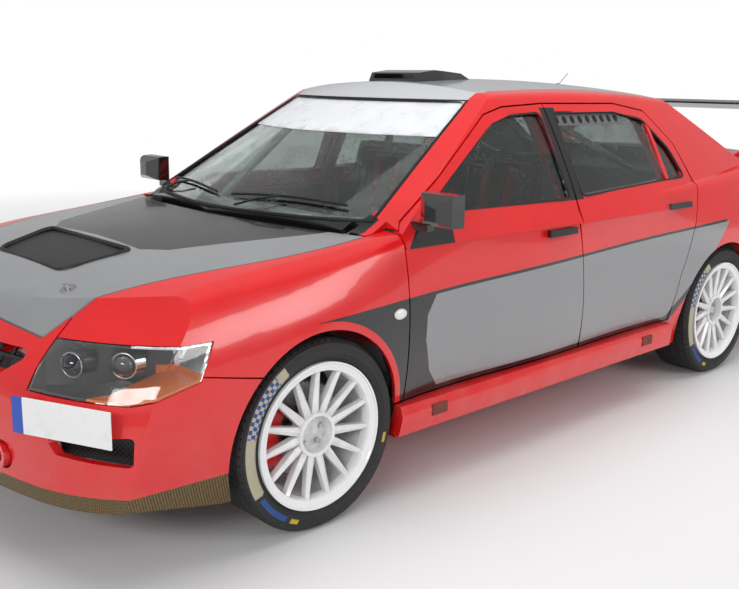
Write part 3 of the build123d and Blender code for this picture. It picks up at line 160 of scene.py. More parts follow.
studio_lamp("ceiling_lamp", (0.3, 0.2, 4.6), (0.2, 0, 0), 7.0, 3.0, 200, mirrored=False)
studio_lamp("front_lamp", (6.0, 3.2, 3.0), (0.6, 0.3, 0.5), 3.0, 1.0, 120)
studio_lamp("side_lamp", (-1.5, 6.2, 2.8), (-0.3, 0.3, 0.6), 4.0, 2.0, 120)
studio_lamp("far_lamp", (-3.0, -6.0, 3.2), (0, 0, 0.6), 5.0, 2.0, 90, mirrored=False)


# Painted panels
# The welded shell, wings, doors, boot lid, bumpers, sills and rear wing are steel and
# plastic, sprayed bright red under gloss lacquer, with flat grey and black wrap on the
# doors. The cabin side is light grey, and the doors have plain black inner cards.
def smooth_tree():
    """The modifier's tree that joins a panel's loose triangles and shades its curves."""
    group = bpy.data.node_groups.new("panel_smoothing", "GeometryNodeTree")
    group.interface.new_socket("Geometry", in_out="INPUT", socket_type="NodeSocketGeometry")
    group.interface.new_socket("Geometry", in_out="OUTPUT", socket_type="NodeSocketGeometry")
    start = group.nodes.new("NodeGroupInput")
    end = group.nodes.new("NodeGroupOutput")
    join = put(group, "GeometryNodeMergeByDistance", None, Geometry=start.outputs[0], Distance=0.00002)
    plain = put(group, "GeometryNodeRemoveAttribute", None, Geometry=join.outputs[0],
                Name="custom_normal")
    faces = put(group, "GeometryNodeSetShadeSmooth", {"domain": "FACE"}, Geometry=plain.outputs[0])
    angle = put(group, "GeometryNodeInputMeshEdgeAngle").outputs["Unsigned Angle"]
    gentle = worked_out(group, "LESS_THAN", angle, math.radians(26))
    edges = put(group, "GeometryNodeSetShadeSmooth", {"domain": "EDGE"}, Geometry=faces.outputs[0])
    group.links.new(gentle, edges.inputs["Shade Smooth"])
    group.links.new(edges.outputs[0], end.inputs[0])
    return group


panel_smoothing = smooth_tree()


def dress(material, *names):
    """Gives CAD pieces their finish and smooth curves."""
    for name in names:
        piece = cad[name]
        piece.data.materials.clear()
        piece.data.materials.append(material)
        piece.modifiers.new("smooth", "NODES").node_group = panel_smoothing


def grouped(tree, group, **sockets):
    """A node group, placed in a material with its own values."""
    return put(tree, "ShaderNodeGroup", {"node_tree": group}, **sockets)


def coordinates(tree):
    """How far forward, how far out from the middle, how high, and the place itself."""
    place = own_place(tree)
    parts = put(tree, "ShaderNodeSeparateXYZ", None, Vector=place)
    return parts.outputs[0], worked_out(tree, "ABSOLUTE", parts.outputs[1]), parts.outputs[2], place


def plus(tree, first, second):
    """Two values added."""
    return worked_out(tree, "ADD", first, second)


def minus(tree, first, second):
    """The second value taken from the first."""
    return worked_out(tree, "SUBTRACT", first, second)


def spot_at(tree, u, v, w=0.0):
    """Two or three values as one place."""
    return put(tree, "ShaderNodeCombineXYZ", None, X=u, Y=v, Z=w).outputs[0]


def noise(tree, place, scale, detail):
    """Soft cloudy noise over a piece."""
    return put(tree, "ShaderNodeTexNoise", None, Vector=place, Scale=scale, Detail=detail).outputs[0]


def relief(tree, height, strength, distance):
    """The normal of a surface that a height embosses."""
    return put(tree, "ShaderNodeBump", None, Strength=strength, Distance=distance,
               Height=height).outputs[0]


def scaled(tree, colour, factor):
    """A colour made lighter or darker by a factor."""
    return put(tree, "ShaderNodeVectorMath", {"operation": "SCALE"}, i0=colour[:3],
               Scale=factor).outputs[0]


SOFT_STEP = 0.0012


def over(tree, value, edge, soft=SOFT_STEP):
    """1 where a value is over an edge, else 0, with a thin soft step."""
    return rises(tree, value, edge - soft / 2, edge + soft / 2)


def under(tree, value, edge, soft=SOFT_STEP):
    """1 where a value is under an edge."""
    return rises(tree, value, edge - soft / 2, edge + soft / 2, 1.0, 0.0)


def all_of(tree, *masks):
    """Where every mask is 1."""
    result = masks[0]
    for mask in masks[1:]:
        result = times(tree, result, mask)
    return result


def between(tree, value, low, high, soft=SOFT_STEP):
    """1 where a value is between two edges."""
    return all_of(tree, over(tree, value, low, soft), under(tree, value, high, soft))


def any_of(tree, *masks):
    """Where one of the masks is 1."""
    result = masks[0]
    for mask in masks[1:]:
        result = worked_out(tree, "MAXIMUM", result, mask)
    return result


def within(tree, u, v, corners):
    """The inside of a convex outline, its corners given counterclockwise as (u, v)."""
    spot = spot_at(tree, u, v, 1.0)
    sides = []
    for (u0, v0), (u1, v1) in zip(corners, corners[1:] + corners[:1]):
        length = math.hypot(u1 - u0, v1 - v0)
        across = (-(v1 - v0) / length, (u1 - u0) / length)
        rest = -(across[0] * u0 + across[1] * v0)
        side = put(tree, "ShaderNodeVectorMath", {"operation": "DOT_PRODUCT"},
                   i0=spot, i1=(across[0], across[1], rest))
        sides.append(over(tree, side.outputs["Value"], 0.0))
    return all_of(tree, *sides)


def lacquer_group():
    """Lacquered paint: dust low down, faint mottling, and the ripple of sprayed lacquer."""
    group = bpy.data.node_groups.new("lacquer_and_dust", "ShaderNodeTree")
    group.interface.new_socket("Dust", in_out="INPUT", socket_type="NodeSocketFloat")
    for name, kind in (("Dust", "Float"), ("Roughness", "Float"), ("Tone", "Float"),
                       ("Normal", "Vector")):
        group.interface.new_socket(name, in_out="OUTPUT", socket_type="NodeSocket" + kind)
    amount, end = group.nodes.new("NodeGroupInput"), group.nodes.new("NodeGroupOutput")
    _, _, z, place = coordinates(group)
    cloud = noise(group, place, 7.0, 5.0)
    low = rises(group, z, 0.15, 0.62, 1.0, 0.0)
    film = all_of(group, rises(group, cloud, 0.42, 0.72), low, amount.outputs[0])
    fine = noise(group, place, 260.0, 2.0)
    smear = noise(group, place, 3.0, 3.0)
    feed(group, end, Dust=film, Roughness=rises(group, smear, 0.3, 0.7, 0.16, 0.27),
         Tone=rises(group, cloud, 0.3, 0.7, 0.96, 1.03), Normal=relief(group, fine, 0.06, 0.0004))
    return group


lacquer_and_dust = lacquer_group()
RED = (0.66, 0.006, 0.008, 1)
WRAP_GREY = (0.235, 0.238, 0.245, 1)
WRAP_BLACK = (0.006, 0.006, 0.007, 1)
CABIN_GREY = (0.11, 0.11, 0.115, 1)
CARD_BLACK = (0.018, 0.018, 0.02, 1)
SILVER = (0.46, 0.47, 0.49, 1)
DUST = (0.24, 0.17, 0.13, 1)
DUST_AMOUNT, DUST_DULLS, CABIN_DULLS = 0.25, 0.4, 0.3
WRAP_OUT = 0.775
ARCH_MIDDLE, ARCH_RADIUS = (1.34, 0.32), 0.378
PILLAR_X, PILLAR_Z = (-0.108, -0.012), (0.972, 1.338)
SAIL_OUTLINE = [(0.930, 0.880), (0.752, 1.058), (0.690, 0.960), (0.702, 0.880)]
FRONT_HANDLE_X, FRONT_HANDLE_Z = (-0.016, 0.176), (0.842, 0.874)
REAR_HANDLE_X, REAR_HANDLE_Z = (-0.928, -0.736), (0.876, 0.908)
HANDLE_FACE = 0.846
HEADER_Z, HEADER_OUT, HEADER_FRONT, HEADER_BACK = 1.335, 0.532, 0.2, -0.99
COWL_X, COWL_Z, COWL_OUT = (0.95, 1.25), 0.90, 0.705
CABIN_X, CABIN_Z, CABIN_OUT = (-1.95, 1.03), (0.215, 1.372), 0.787
SCREEN_SLOPE, SCREEN_BOW, SCREEN_REACH, LINING_GAP = 1.8355, 0.43, 2.9455, 0.05
GREY_WRAP_OUTLINE = [(0.766, 0.362), (0.82, 0.43), (0.852, 0.552), (0.848, 0.64), (0.80, 0.7075),
                     (-1.298, 0.779), (-1.06, 0.56), (-0.80, 0.362)]
BLACK_WRAP_OUTLINE = [(1.36, 0.30), (1.36, 0.7005), (-1.325, 0.792), (-1.08, 0.56), (-0.86, 0.30)]


def paint_finish(name, colour, inside, wrap=False, door=False, shell=False):
    """Sprayed paint; the side wrap is drawn where the doors and wings carry it."""
    material, tree, shader = new_finish(name)
    x, out, z, _ = coordinates(tree)
    film = grouped(tree, lacquer_and_dust, Dust=DUST_AMOUNT)
    surface = scaled(tree, colour, film.outputs["Tone"])
    if wrap:
        side = over(tree, out, WRAP_OUT)
        from_arch = spot_at(tree, minus(tree, x, ARCH_MIDDLE[0]), minus(tree, z, ARCH_MIDDLE[1]))
        clear_of_arch = over(tree, distance_of(tree, from_arch), ARCH_RADIUS)
        black = all_of(tree, within(tree, x, z, BLACK_WRAP_OUTLINE), side, clear_of_arch)
        grey = all_of(tree, within(tree, x, z, GREY_WRAP_OUTLINE), side)
        surface = mixed(tree, black, surface, WRAP_BLACK)
        surface = mixed(tree, grey, surface, WRAP_GREY)
    if door:
        pillar = all_of(tree, between(tree, z, *PILLAR_Z), between(tree, x, *PILLAR_X))
        sail = within(tree, x, z, SAIL_OUTLINE)
        front_handle = all_of(tree, between(tree, x, *FRONT_HANDLE_X),
                              between(tree, z, *FRONT_HANDLE_Z))
        rear_handle = all_of(tree, between(tree, x, *REAR_HANDLE_X), between(tree, z, *REAR_HANDLE_Z))
        handle = all_of(tree, any_of(tree, front_handle, rear_handle), over(tree, out, HANDLE_FACE))
        surface = mixed(tree, any_of(tree, pillar, sail, handle), surface, WRAP_BLACK)
    if shell:
        ends = any_of(tree, over(tree, x, HEADER_FRONT), under(tree, x, HEADER_BACK))
        header = all_of(tree, over(tree, z, HEADER_Z), under(tree, out, HEADER_OUT), ends)
        cowl = all_of(tree, between(tree, x, *COWL_X), over(tree, z, COWL_Z),
                      under(tree, out, COWL_OUT))
        surface = mixed(tree, header, surface, SILVER)
        surface = mixed(tree, cowl, surface, WRAP_BLACK)
    cabin_edge = plus(tree, out, rises(tree, z, 0.9, 1.4, 0.0, 0.29))
    slope = plus(tree, x, times(tree, z, SCREEN_SLOPE))
    bow = times(tree, times(tree, out, out), SCREEN_BOW)
    behind_screen = under(tree, plus(tree, slope, bow), SCREEN_REACH - LINING_GAP)
    cabin = all_of(tree, behind_screen, under(tree, cabin_edge, CABIN_OUT), between(tree, x, *CABIN_X),
                   between(tree, z, *CABIN_Z))
    surface = mixed(tree, cabin, surface, inside)
    surface = mixed(tree, film.outputs["Dust"], surface, DUST)
    rough = plus(tree, film.outputs["Roughness"], times(tree, film.outputs["Dust"], DUST_DULLS))
    rough = plus(tree, rough, times(tree, cabin, CABIN_DULLS))
    feed(tree, shader, Base_Color=surface, Roughness=rough, Normal=film.outputs["Normal"],
         Coat_Weight=0.6, Coat_Roughness=0.04)
    return material


body_paint = paint_finish("red_body_paint", RED, CABIN_GREY, wrap=True, shell=True)
door_paint = paint_finish("red_door_paint", RED, CARD_BLACK, wrap=True, door=True)
panel_paint = paint_finish("red_panel_paint", RED, RED)
dress(body_paint, "body_shell", "front_wings")
dress(door_paint, "front_door_left", "front_door_right", "rear_door_left", "rear_door_right")
dress(panel_paint, "boot_lid", "front_bumper", "rear_bumper", "side_skirts", "tow_eyes")


# Roof and its scoop
# The roof is one silver sheet, and the scoop on it is a carbon moulding with clear
# lacquer, screwed down over the hatch, that feeds air to the cabin.
def weave_group():
    """Twill of carbon or aramid: a mask of the threads that lie across, and their height."""
    group = bpy.data.node_groups.new("cloth_weave", "ShaderNodeTree")
    group.interface.new_socket("Thread", in_out="INPUT", socket_type="NodeSocketFloat")
    for name, kind in (("Across", "Float"), ("Normal", "Vector")):
        group.interface.new_socket(name, in_out="OUTPUT", socket_type="NodeSocket" + kind)
    thread, end = group.nodes.new("NodeGroupInput"), group.nodes.new("NodeGroupOutput")
    place = own_place(group)
    scale = worked_out(group, "DIVIDE", 1.0, thread.outputs[0])
    squares = put(group, "ShaderNodeTexChecker", None, Vector=place, Scale=scale).outputs["Fac"]
    cords = put(group, "ShaderNodeTexVoronoi", {"feature": "F1"}, Vector=place, Scale=scale,
                Randomness=0.1)
    threads = put(group, "ShaderNodeBump", {"invert": True}, Strength=0.25, Distance=0.0003,
                  Height=cords.outputs["Distance"])
    feed(group, end, Across=squares, Normal=threads.outputs[0])
    return group


cloth_weave = weave_group()


def woven_finish(name, dark, light, thread, rough, gloss_coat):
    """Woven cloth under clear resin."""
    material, tree, shader = new_finish(name)
    weave = grouped(tree, cloth_weave, Thread=thread)
    feed(tree, shader, Base_Color=mixed(tree, weave.outputs["Across"], dark, light),
         Normal=weave.outputs["Normal"], Roughness=rough, Coat_Weight=gloss_coat, Coat_Roughness=0.03)
    return material


material, tree, shader = new_finish("silver_roof_paint")
film = grouped(tree, lacquer_and_dust, Dust=0.0)
place = coordinates(tree)[3]
flake = put(tree, "ShaderNodeTexVoronoi", None, Vector=place, Scale=1400.0).outputs["Color"]
shine = scaled(tree, SILVER, film.outputs["Tone"])
sparkle = put(tree, "ShaderNodeMix", {"data_type": "RGBA", "blend_type": "OVERLAY"}, i0=0.12,
              i6=shine, i7=flake)
feed(tree, shader, Base_Color=sparkle.outputs[2], Roughness=film.outputs["Roughness"],
     Normal=film.outputs["Normal"], Metallic=0.35, Coat_Weight=0.5)
dress(material, "roof_panel")

WING_BLADE_OUT, WING_BLADE_Z = 0.655, 1.12
material, tree, shader = new_finish("rear_wing_paint")
_, out, z, _ = coordinates(tree)
film = grouped(tree, lacquer_and_dust, Dust=0.0)
blade = all_of(tree, under(tree, out, WING_BLADE_OUT), over(tree, z, WING_BLADE_Z))
feed(tree, shader, Base_Color=mixed(tree, blade, RED, WRAP_BLACK), Roughness=film.outputs["Roughness"],
     Normal=film.outputs["Normal"], Coat_Weight=0.6)
dress(material, "rear_wing")
carbon = woven_finish("lacquered_carbon", (0.004, 0.004, 0.005, 1), (0.018, 0.018, 0.02, 1), 0.004,
                      0.22, 0.9)
dress(carbon, "roof_scoop")


# Bonnet
# The bonnet is a thin grey panel with a black carbon field in its middle, a mesh vent in
# a raised frame, and a sprung pin at each front corner in a round plate.
CARBON_FIELD = [(1.64, -0.5), (1.66, 0.31), (1.60, 0.40), (1.15, 0.60), (0.95, 0.66), (0.95, -0.5)]
material, tree, shader = new_finish("bonnet_wrap")
x, out, _, _ = coordinates(tree)
film = grouped(tree, lacquer_and_dust, Dust=0.0)
weave = grouped(tree, cloth_weave, Thread=0.006)
field = within(tree, x, out, CARBON_FIELD)
twill = mixed(tree, weave.outputs["Across"], (0.006, 0.006, 0.007, 1), (0.016, 0.016, 0.018, 1))
surface = mixed(tree, field, scaled(tree, (0.255, 0.26, 0.27), film.outputs["Tone"]), twill)
feed(tree, shader, Base_Color=surface, Roughness=film.outputs["Roughness"],
     Normal=film.outputs["Normal"], Metallic=0.15, Coat_Weight=0.55, Coat_Roughness=0.05)
dress(material, "bonnet")


def mesh_finish(name, first, second, pitch):
    """Black woven wire over holes painted near black, painted shade for the openings, which are not
    cut; drawn in the plane of two axes.
    """
    material, tree, shader = new_finish(name)
    place = own_place(tree)
    parts = put(tree, "ShaderNodeSeparateXYZ", None, Vector=place)
    u, v = parts.outputs[first], parts.outputs[second]
    flat = spot_at(tree, plus(tree, u, v), minus(tree, u, v))
    cells = put(tree, "ShaderNodeTexVoronoi", {"feature": "DISTANCE_TO_EDGE"}, Vector=flat,
                Scale=1 / pitch, Randomness=0.0).outputs["Distance"]
    wire = rises(tree, cells, 0.14, 0.2, 1.0, 0.0)
    # The holes between the wires are painted near black: painted shade standing in for the dark space
    # behind the mesh.
    feed(tree, shader, Base_Color=mixed(tree, wire, (0.001, 0.001, 0.001, 1), (0.035, 0.035, 0.037, 1)),
         Normal=relief(tree, wire, 0.9, 0.002), Roughness=0.45)
    return material


dress(mesh_finish("vent_wire", 0, 1, 0.014), "bonnet_vent")


def moulded_finish(name, colour, rough, grain=420.0, depth=0.0002, metal=0.0, gloss_coat=0.0):
    """Moulded or cast stuff: an even colour with a fine grain and slightly uneven shine."""
    material, tree, shader = new_finish(name)
    place = own_place(tree)
    fine = noise(tree, place, grain, 3.0)
    cloud = noise(tree, place, 14.0, 3.0)
    tone = scaled(tree, colour, rises(tree, cloud, 0.3, 0.7, 0.95, 1.04))
    feed(tree, shader, Base_Color=tone,
         Roughness=rises(tree, cloud, 0.3, 0.7, rough * 0.85, min(1.0, rough * 1.2)),
         Normal=relief(tree, fine, 0.4, depth), Metallic=metal, Coat_Weight=gloss_coat)
    return material


black_plastic = moulded_finish("black_plastic", (0.014, 0.014, 0.015), 0.45)
rubber = moulded_finish("black_rubber", (0.010, 0.010, 0.011), 0.6)
gloss_black = moulded_finish("gloss_black_paint", (0.006, 0.006, 0.007), 0.12, 90.0, 0.00003, 0.0, 0.8)
bright_steel = moulded_finish("bright_steel", (0.55, 0.55, 0.56), 0.25, 300.0, 0.00005, 1.0)


def surface_at(name, start, direction):
    """Where a line from start meets a CAD piece, and which way it faces there."""
    hit, point, normal, _ = cad[name].ray_cast(Vector(start), Vector(direction))
    return (point, normal) if hit else (Vector(start), Vector((0, 0, 1)))


def cone(bm, sides, low, high, depth):
    """A closed cone or disc on the Z axis, its two radii given from the bottom up."""
    return bmesh.ops.create_cone(bm, cap_ends=True, segments=sides, radius1=low, radius2=high,
                                 depth=depth)["verts"]


def made(name, bm, material, body):
    """A finished piece from a bmesh: it gets its finish and rides on its CAD body."""
    bmesh.ops.remove_doubles(bm, verts=bm.verts, dist=0.00001)
    bmesh.ops.recalc_face_normals(bm, faces=bm.faces)
    mesh = bpy.data.meshes.new(name)
    bm.to_mesh(mesh)
    bm.free()
    piece = bpy.data.objects.new(name, mesh)
    scene.collection.objects.link(piece)
    mesh.shade_smooth()
    mesh.set_sharp_from_angle(angle=math.radians(35))
    mesh.materials.append(material)
    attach(piece, body)
    return piece


def tube_along(name, points, radius, material, body, closed=False):
    """A round bead or rod along points, which rides on a CAD body."""
    curve = bpy.data.curves.new(name, "CURVE")
    curve.dimensions = "3D"
    curve.bevel_depth, curve.bevel_resolution, curve.use_fill_caps = radius, 3, True
    line = curve.splines.new("POLY")
    line.points.add(len(points) - 1)
    for spot, point in zip(line.points, points):
        spot.co = (*point, 1)
    line.use_cyclic_u = closed
    piece = bpy.data.objects.new(name, curve)
    scene.collection.objects.link(piece)
    curve.materials.append(material)
    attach(piece, body)
    return piece


def round_outline(corners, radius, steps=5):
    """The points of an outline with its corners rounded."""
    points = []
    count = len(corners)
    for i in range(count):
        corner = Vector(corners[i])
        before = (Vector(corners[i - 1]) - corner).normalized() * radius
        after = (Vector(corners[(i + 1) % count]) - corner).normalized() * radius
        for j in range(steps + 1):
            t = j / steps
            points.append(corner + before * (1 - t) ** 2 + after * t ** 2)
    return points


VENT_MIDDLE_X = 1.79
VENT_CORNERS = [(1.903, -0.252), (1.903, 0.252), (1.682, 0.302), (1.682, -0.302)]
frame_line = []
for spot in round_outline(VENT_CORNERS, 0.04):
    inside = (spot.x * 0.98 + VENT_MIDDLE_X * 0.02, spot.y * 0.96, 1.3)
    point, _ = surface_at("bonnet_vent", inside, (0, 0, -1))
    frame_line.append((spot.x, spot.y, point.z + 0.005 - (spot.x - VENT_MIDDLE_X) * 0.01))
tube_along("bonnet_vent_frame", frame_line, 0.009, black_plastic, "bonnet", closed=True)

SIDES = (("left", 1), ("right", -1))
PIN_X, PIN_Y = 1.955, 0.40
for side, sign in SIDES:
    point, normal = surface_at("bonnet", (PIN_X, sign * PIN_Y, 1.3), (0, 0, -1))
    bm = bmesh.new()
    cone(bm, 32, 0.027, 0.024, 0.003)
    pin = cone(bm, 20, 0.008, 0.007, 0.016)
    bmesh.ops.translate(bm, verts=pin, vec=(0, 0, 0.007))
    clip = cone(bm, 12, 0.002, 0.002, 0.05)
    bmesh.ops.rotate(bm, verts=clip, cent=(0, 0, 0),
                     matrix=Matrix.Rotation(math.pi / 2, 3, "Y"))
    bmesh.ops.translate(bm, verts=clip, vec=(0, 0, 0.01))
    turn = normal.to_track_quat("Z", "Y").to_matrix().to_4x4()
    bmesh.ops.transform(bm, verts=bm.verts, matrix=Matrix.Translation(point + normal * 0.001) @ turn)
    made(f"bonnet_pin_{side}", bm, bright_steel, "bonnet")


# Windows
# The screens are laminated glass and the side windows thin clear plastic, all with rain
# on them. A pale sun strip runs along the top of the windscreen, the rear windows have a
# row of vent holes, and every opening has a black rubber seal.
def drops_group():
    """Raindrops that cling to glass: their height, drawn from scattered rounded cells."""
    group = bpy.data.node_groups.new("raindrops", "ShaderNodeTree")
    group.interface.new_socket("Amount", in_out="INPUT", socket_type="NodeSocketFloat")
    group.interface.new_socket("Normal", in_out="OUTPUT", socket_type="NodeSocketVector")
    amount, end = group.nodes.new("NodeGroupInput"), group.nodes.new("NodeGroupOutput")
    place = own_place(group)
    cells = put(group, "ShaderNodeTexVoronoi", None, Vector=place, Scale=150.0)
    round_top = rises(group, cells.outputs["Distance"], 0.0, 0.42, 1.0, 0.0)
    pick = put(group, "ShaderNodeSeparateColor", None, Color=cells.outputs["Color"]).outputs[0]
    patches = noise(group, place, 6.0, 2.0)
    kept = all_of(group, under(group, pick, 0.45), rises(group, patches, 0.45, 0.6), amount.outputs[0])
    feed(group, end, Normal=relief(group, all_of(group, round_top, kept), 0.7, 0.002))
    return group


raindrops = drops_group()


def glass_finish(name, colour, rain):
    """Clear glass or plastic, with rain on it."""
    material, tree, shader = new_finish(name)
    drops = grouped(tree, raindrops, Amount=rain)
    feed(tree, shader, Normal=drops.outputs["Normal"], Base_Color=colour, Roughness=0.015,
         Transmission_Weight=1.0, IOR=1.46)
    return material


screen_glass = glass_finish("screen_glass", (0.46, 0.51, 0.49, 1), 0.35)
side_glass = glass_finish("side_glass", (0.48, 0.53, 0.51, 1), 0.8)
dress(screen_glass, "windscreen", "backlight")
dress(side_glass, "front_window_left", "front_window_right", "rear_window_left", "rear_window_right")


def thicken(piece, thickness, offset=-1):
    """Gives a thin skin its thickness."""
    solid = piece.modifiers.new("thickness", "SOLIDIFY")
    solid.thickness, solid.offset = thickness, offset


FILM_LIFT, FILM_THICK = 0.0012, 0.0008


def film_on(name, source, keep, lift, material, body):
    """A thin film on a pane: a copy of its skin, cut by planes and lifted a little."""
    bm = bmesh.new()
    bm.from_mesh(cad[source].data)
    bmesh.ops.remove_doubles(bm, verts=bm.verts, dist=0.00002)
    for point, normal in keep:
        bmesh.ops.bisect_plane(bm, geom=bm.verts[:] + bm.edges[:] + bm.faces[:], plane_co=point,
                               plane_no=normal, clear_inner=True)
    outer = [face for face in bm.faces if face.normal.dot(Vector(lift)) < 0.3]
    bmesh.ops.delete(bm, geom=outer, context="FACES")
    bmesh.ops.translate(bm, verts=bm.verts, vec=Vector(lift) * FILM_LIFT)
    thicken(made(name, bm, material, body), FILM_THICK)


sun_strip = moulded_finish("sun_strip_film", (0.66, 0.67, 0.70), 0.3, 60.0, 0.00001, 0.0, 0.2)
film_on("windscreen_sun_strip", "windscreen", [((0, 0, 1.232), (0, 0, 1))], (0.55, 0, 0.83), sun_strip,
        "body")

HOLE_SPACING, HOLE_Z, HOLE_RADIUS = 0.055, 1.286, 0.0155
vent_strip, tree, shader = new_finish("vent_strip_film")
x, _, z, _ = coordinates(tree)
along = put(tree, "ShaderNodeMath", {"operation": "WRAP"}, i0=x, i1=HOLE_SPACING / 2,
            i2=-HOLE_SPACING / 2)
from_hole = distance_of(tree, spot_at(tree, along.outputs[0], minus(tree, z, HOLE_Z)))
# The vent holes are painted near black on the grey strip: painted shade for holes that are not cut.
feed(tree, shader, Base_Color=mixed(tree, under(tree, from_hole, HOLE_RADIUS), (0.12, 0.12, 0.125, 1),
                                    (0.002, 0.002, 0.002, 1)), Roughness=0.35)
for side, sign in SIDES:
    film_on(f"rear_window_vents_{side}", f"rear_window_{side}",
            [((0, 0, 1.262), (0, 0, 1)), ((-0.58, 0, 0), (1, 0, 0))],
            (0, sign * 0.9, 0.4), vent_strip, f"rear_door_{side}")

FRONT_WINDOW = [(0.800, 0.988), (0.300, 1.282), (0.190, 1.310), (-0.004, 1.318), (-0.020, 0.978)]
REAR_WINDOW = [(-0.104, 0.982), (-0.090, 1.318), (-0.540, 1.316), (-0.756, 1.278), (-0.900, 1.140),
               (-0.956, 1.012)]
for side, sign in SIDES:
    for door, corners in (("front", FRONT_WINDOW), ("rear", REAR_WINDOW)):
        middle = sum((Vector(corner) for corner in corners), Vector((0, 0))) / len(corners)
        seal = []
        for spot in round_outline(corners, 0.03):
            grown = spot + (spot - middle).normalized() * 0.008
            point, _ = surface_at(f"{door}_door_{side}", (grown.x, sign * 1.2, grown.y), (0, -sign, 0))
            seal.append((spot.x, point.y - sign * 0.002, spot.y))
        tube_along(f"{door}_window_seal_{side}", seal, 0.0055, rubber, f"{door}_door_{side}",
                   closed=True)

SEAL_MIDDLE, SEAL_GROWTH, SEAL_STEPS = Vector((0, 1.16)), 1.012, 12
for name, sign, ring in (
        ("windscreen_seal", 1, [(-0.690, 0.962), (0.690, 0.962), (0.535, 1.362), (-0.535, 1.362)]),
        ("backlight_seal", -1, [(-0.600, 1.094), (0.600, 1.094), (0.500, 1.350), (-0.500, 1.350)])):
    seal = []
    for i in range(4):
        a, b = Vector(ring[i]), Vector(ring[(i + 1) % 4])
        for j in range(SEAL_STEPS):
            spot = a.lerp(b, j / SEAL_STEPS)
            grown = (spot - SEAL_MIDDLE) * SEAL_GROWTH + SEAL_MIDDLE
            point, _ = surface_at("body_shell", (sign * 2.4, grown.x, grown.y), (-sign, 0, 0))
            seal.append((point.x, spot.x, spot.y))
    tube_along(name, seal, 0.007, rubber, "body", closed=True)


# Lamps
# Each headlamp is a clear cover over a dark bowl, with two projector lenses, a chromed
# outer third and an amber strip below. The tail lamps are ribbed red plastic.
lamp_cover = glass_finish("lamp_cover", (0.93, 0.94, 0.94, 1), 0.4)
dress(lamp_cover, "headlamp_lenses")
AMBER_TOP, AMBER_OUT, CHROME_OUT = 0.622, 0.705, 0.735
material, tree, shader = new_finish("headlamp_bowl")
_, out, z, place = coordinates(tree)
amber = all_of(tree, under(tree, z, AMBER_TOP), over(tree, out, AMBER_OUT))
chrome = all_of(tree, over(tree, out, CHROME_OUT), over(tree, z, AMBER_TOP))
ribs = put(tree, "ShaderNodeTexWave", {"wave_type": "BANDS", "bands_direction": "Y"}, Vector=place,
           Scale=70.0, Distortion=0.0).outputs["Fac"]
surface = mixed(tree, chrome, (0.03, 0.03, 0.032, 1), (0.62, 0.63, 0.64, 1))
ribs = all_of(tree, ribs, any_of(tree, chrome, amber))
feed(tree, shader, Base_Color=mixed(tree, amber, surface, (0.75, 0.16, 0.01, 1)), Metallic=chrome,
     Normal=relief(tree, ribs, 0.5, 0.001), Roughness=0.16)
dress(material, "headlamp_housings")
lens_dark = moulded_finish("projector_lens", (0.012, 0.014, 0.02), 0.04, 20.0, 0.00002, 0.0, 1.0)
PROJECTORS = ((2.018, 0.590, 0.640, 24), (1.925, 0.702, 0.646, 40))
LENS_FORWARD = Matrix.Rotation(math.pi / 2, 4, "Y")
for side, sign in SIDES:
    for number, (x, y, z, turn) in enumerate(PROJECTORS):
        facing = Matrix.Rotation(sign * math.radians(turn), 4, "Z") @ LENS_FORWARD
        at = Matrix.Translation((x, sign * y, z)) @ facing
        bm = bmesh.new()
        bmesh.ops.create_uvsphere(bm, u_segments=32, v_segments=16, radius=0.0318)
        bmesh.ops.transform(bm, verts=bm.verts, matrix=at @ Matrix.Translation((0, 0, 0.0245)))
        made(f"projector_lens_{side}_{number + 1}", bm, lens_dark, "body")
        bm = bmesh.new()
        bmesh.ops.create_circle(bm, segments=48, radius=0.0365)
        bmesh.ops.transform(bm, verts=bm.verts, matrix=at @ Matrix.Translation((0, 0, 0.036)))
        ring = [tuple(vert.co) for vert in bm.verts]
        bm.free()
        tube_along(f"projector_bezel_{side}_{number + 1}", ring, 0.0022, bright_steel, "body",
                   closed=True)

PALE_BAND_Z = (0.80, 0.84)
material, tree, shader = new_finish("tail_lamp_plastic")
_, _, z, place = coordinates(tree)
ribs = put(tree, "ShaderNodeTexWave", {"wave_type": "BANDS", "bands_direction": "Z"}, Vector=place,
           Scale=55.0, Distortion=0.0).outputs["Fac"]
band = between(tree, z, *PALE_BAND_Z)
feed(tree, shader, Base_Color=mixed(tree, band, (0.42, 0.006, 0.008, 1), (0.7, 0.68, 0.66, 1)),
     Normal=relief(tree, ribs, 0.5, 0.001), Roughness=0.1, Coat_Weight=0.8)
dress(material, "tail_lamps")


# Nose and tail fittings
# The lip is gold aramid cloth in resin with upright ribs. Black wire mesh fills the
# mouths, and the plates are blank white plastic with a blue end.
LIP_SWEEP, RIB_PACE = -0.7, 900.0
material, tree, shader = new_finish("aramid_lip")
weave = grouped(tree, cloth_weave, Thread=0.005)
x, out, _, _ = coordinates(tree)
around = plus(tree, out, times(tree, x, LIP_SWEEP))
ribs = worked_out(tree, "SINE", times(tree, around, RIB_PACE))
cloth = mixed(tree, weave.outputs["Across"], (0.12, 0.075, 0.018, 1), (0.26, 0.165, 0.045, 1))
# The troughs between the upright ribs are painted darker brown: painted shade in the creases, besides
# the ribs' bump.
rib_shaded_cloth = mixed(tree, rises(tree, ribs, -0.6, 0.6), (0.05, 0.032, 0.012, 1), cloth)
feed(tree, shader, Base_Color=rib_shaded_cloth, Normal=relief(tree, ribs, 0.6, 0.002), Roughness=0.38)
dress(material, "front_lip")
nose_mesh = mesh_finish("nose_wire", 1, 2, 0.016)
dress(nose_mesh, "bumper_grilles")

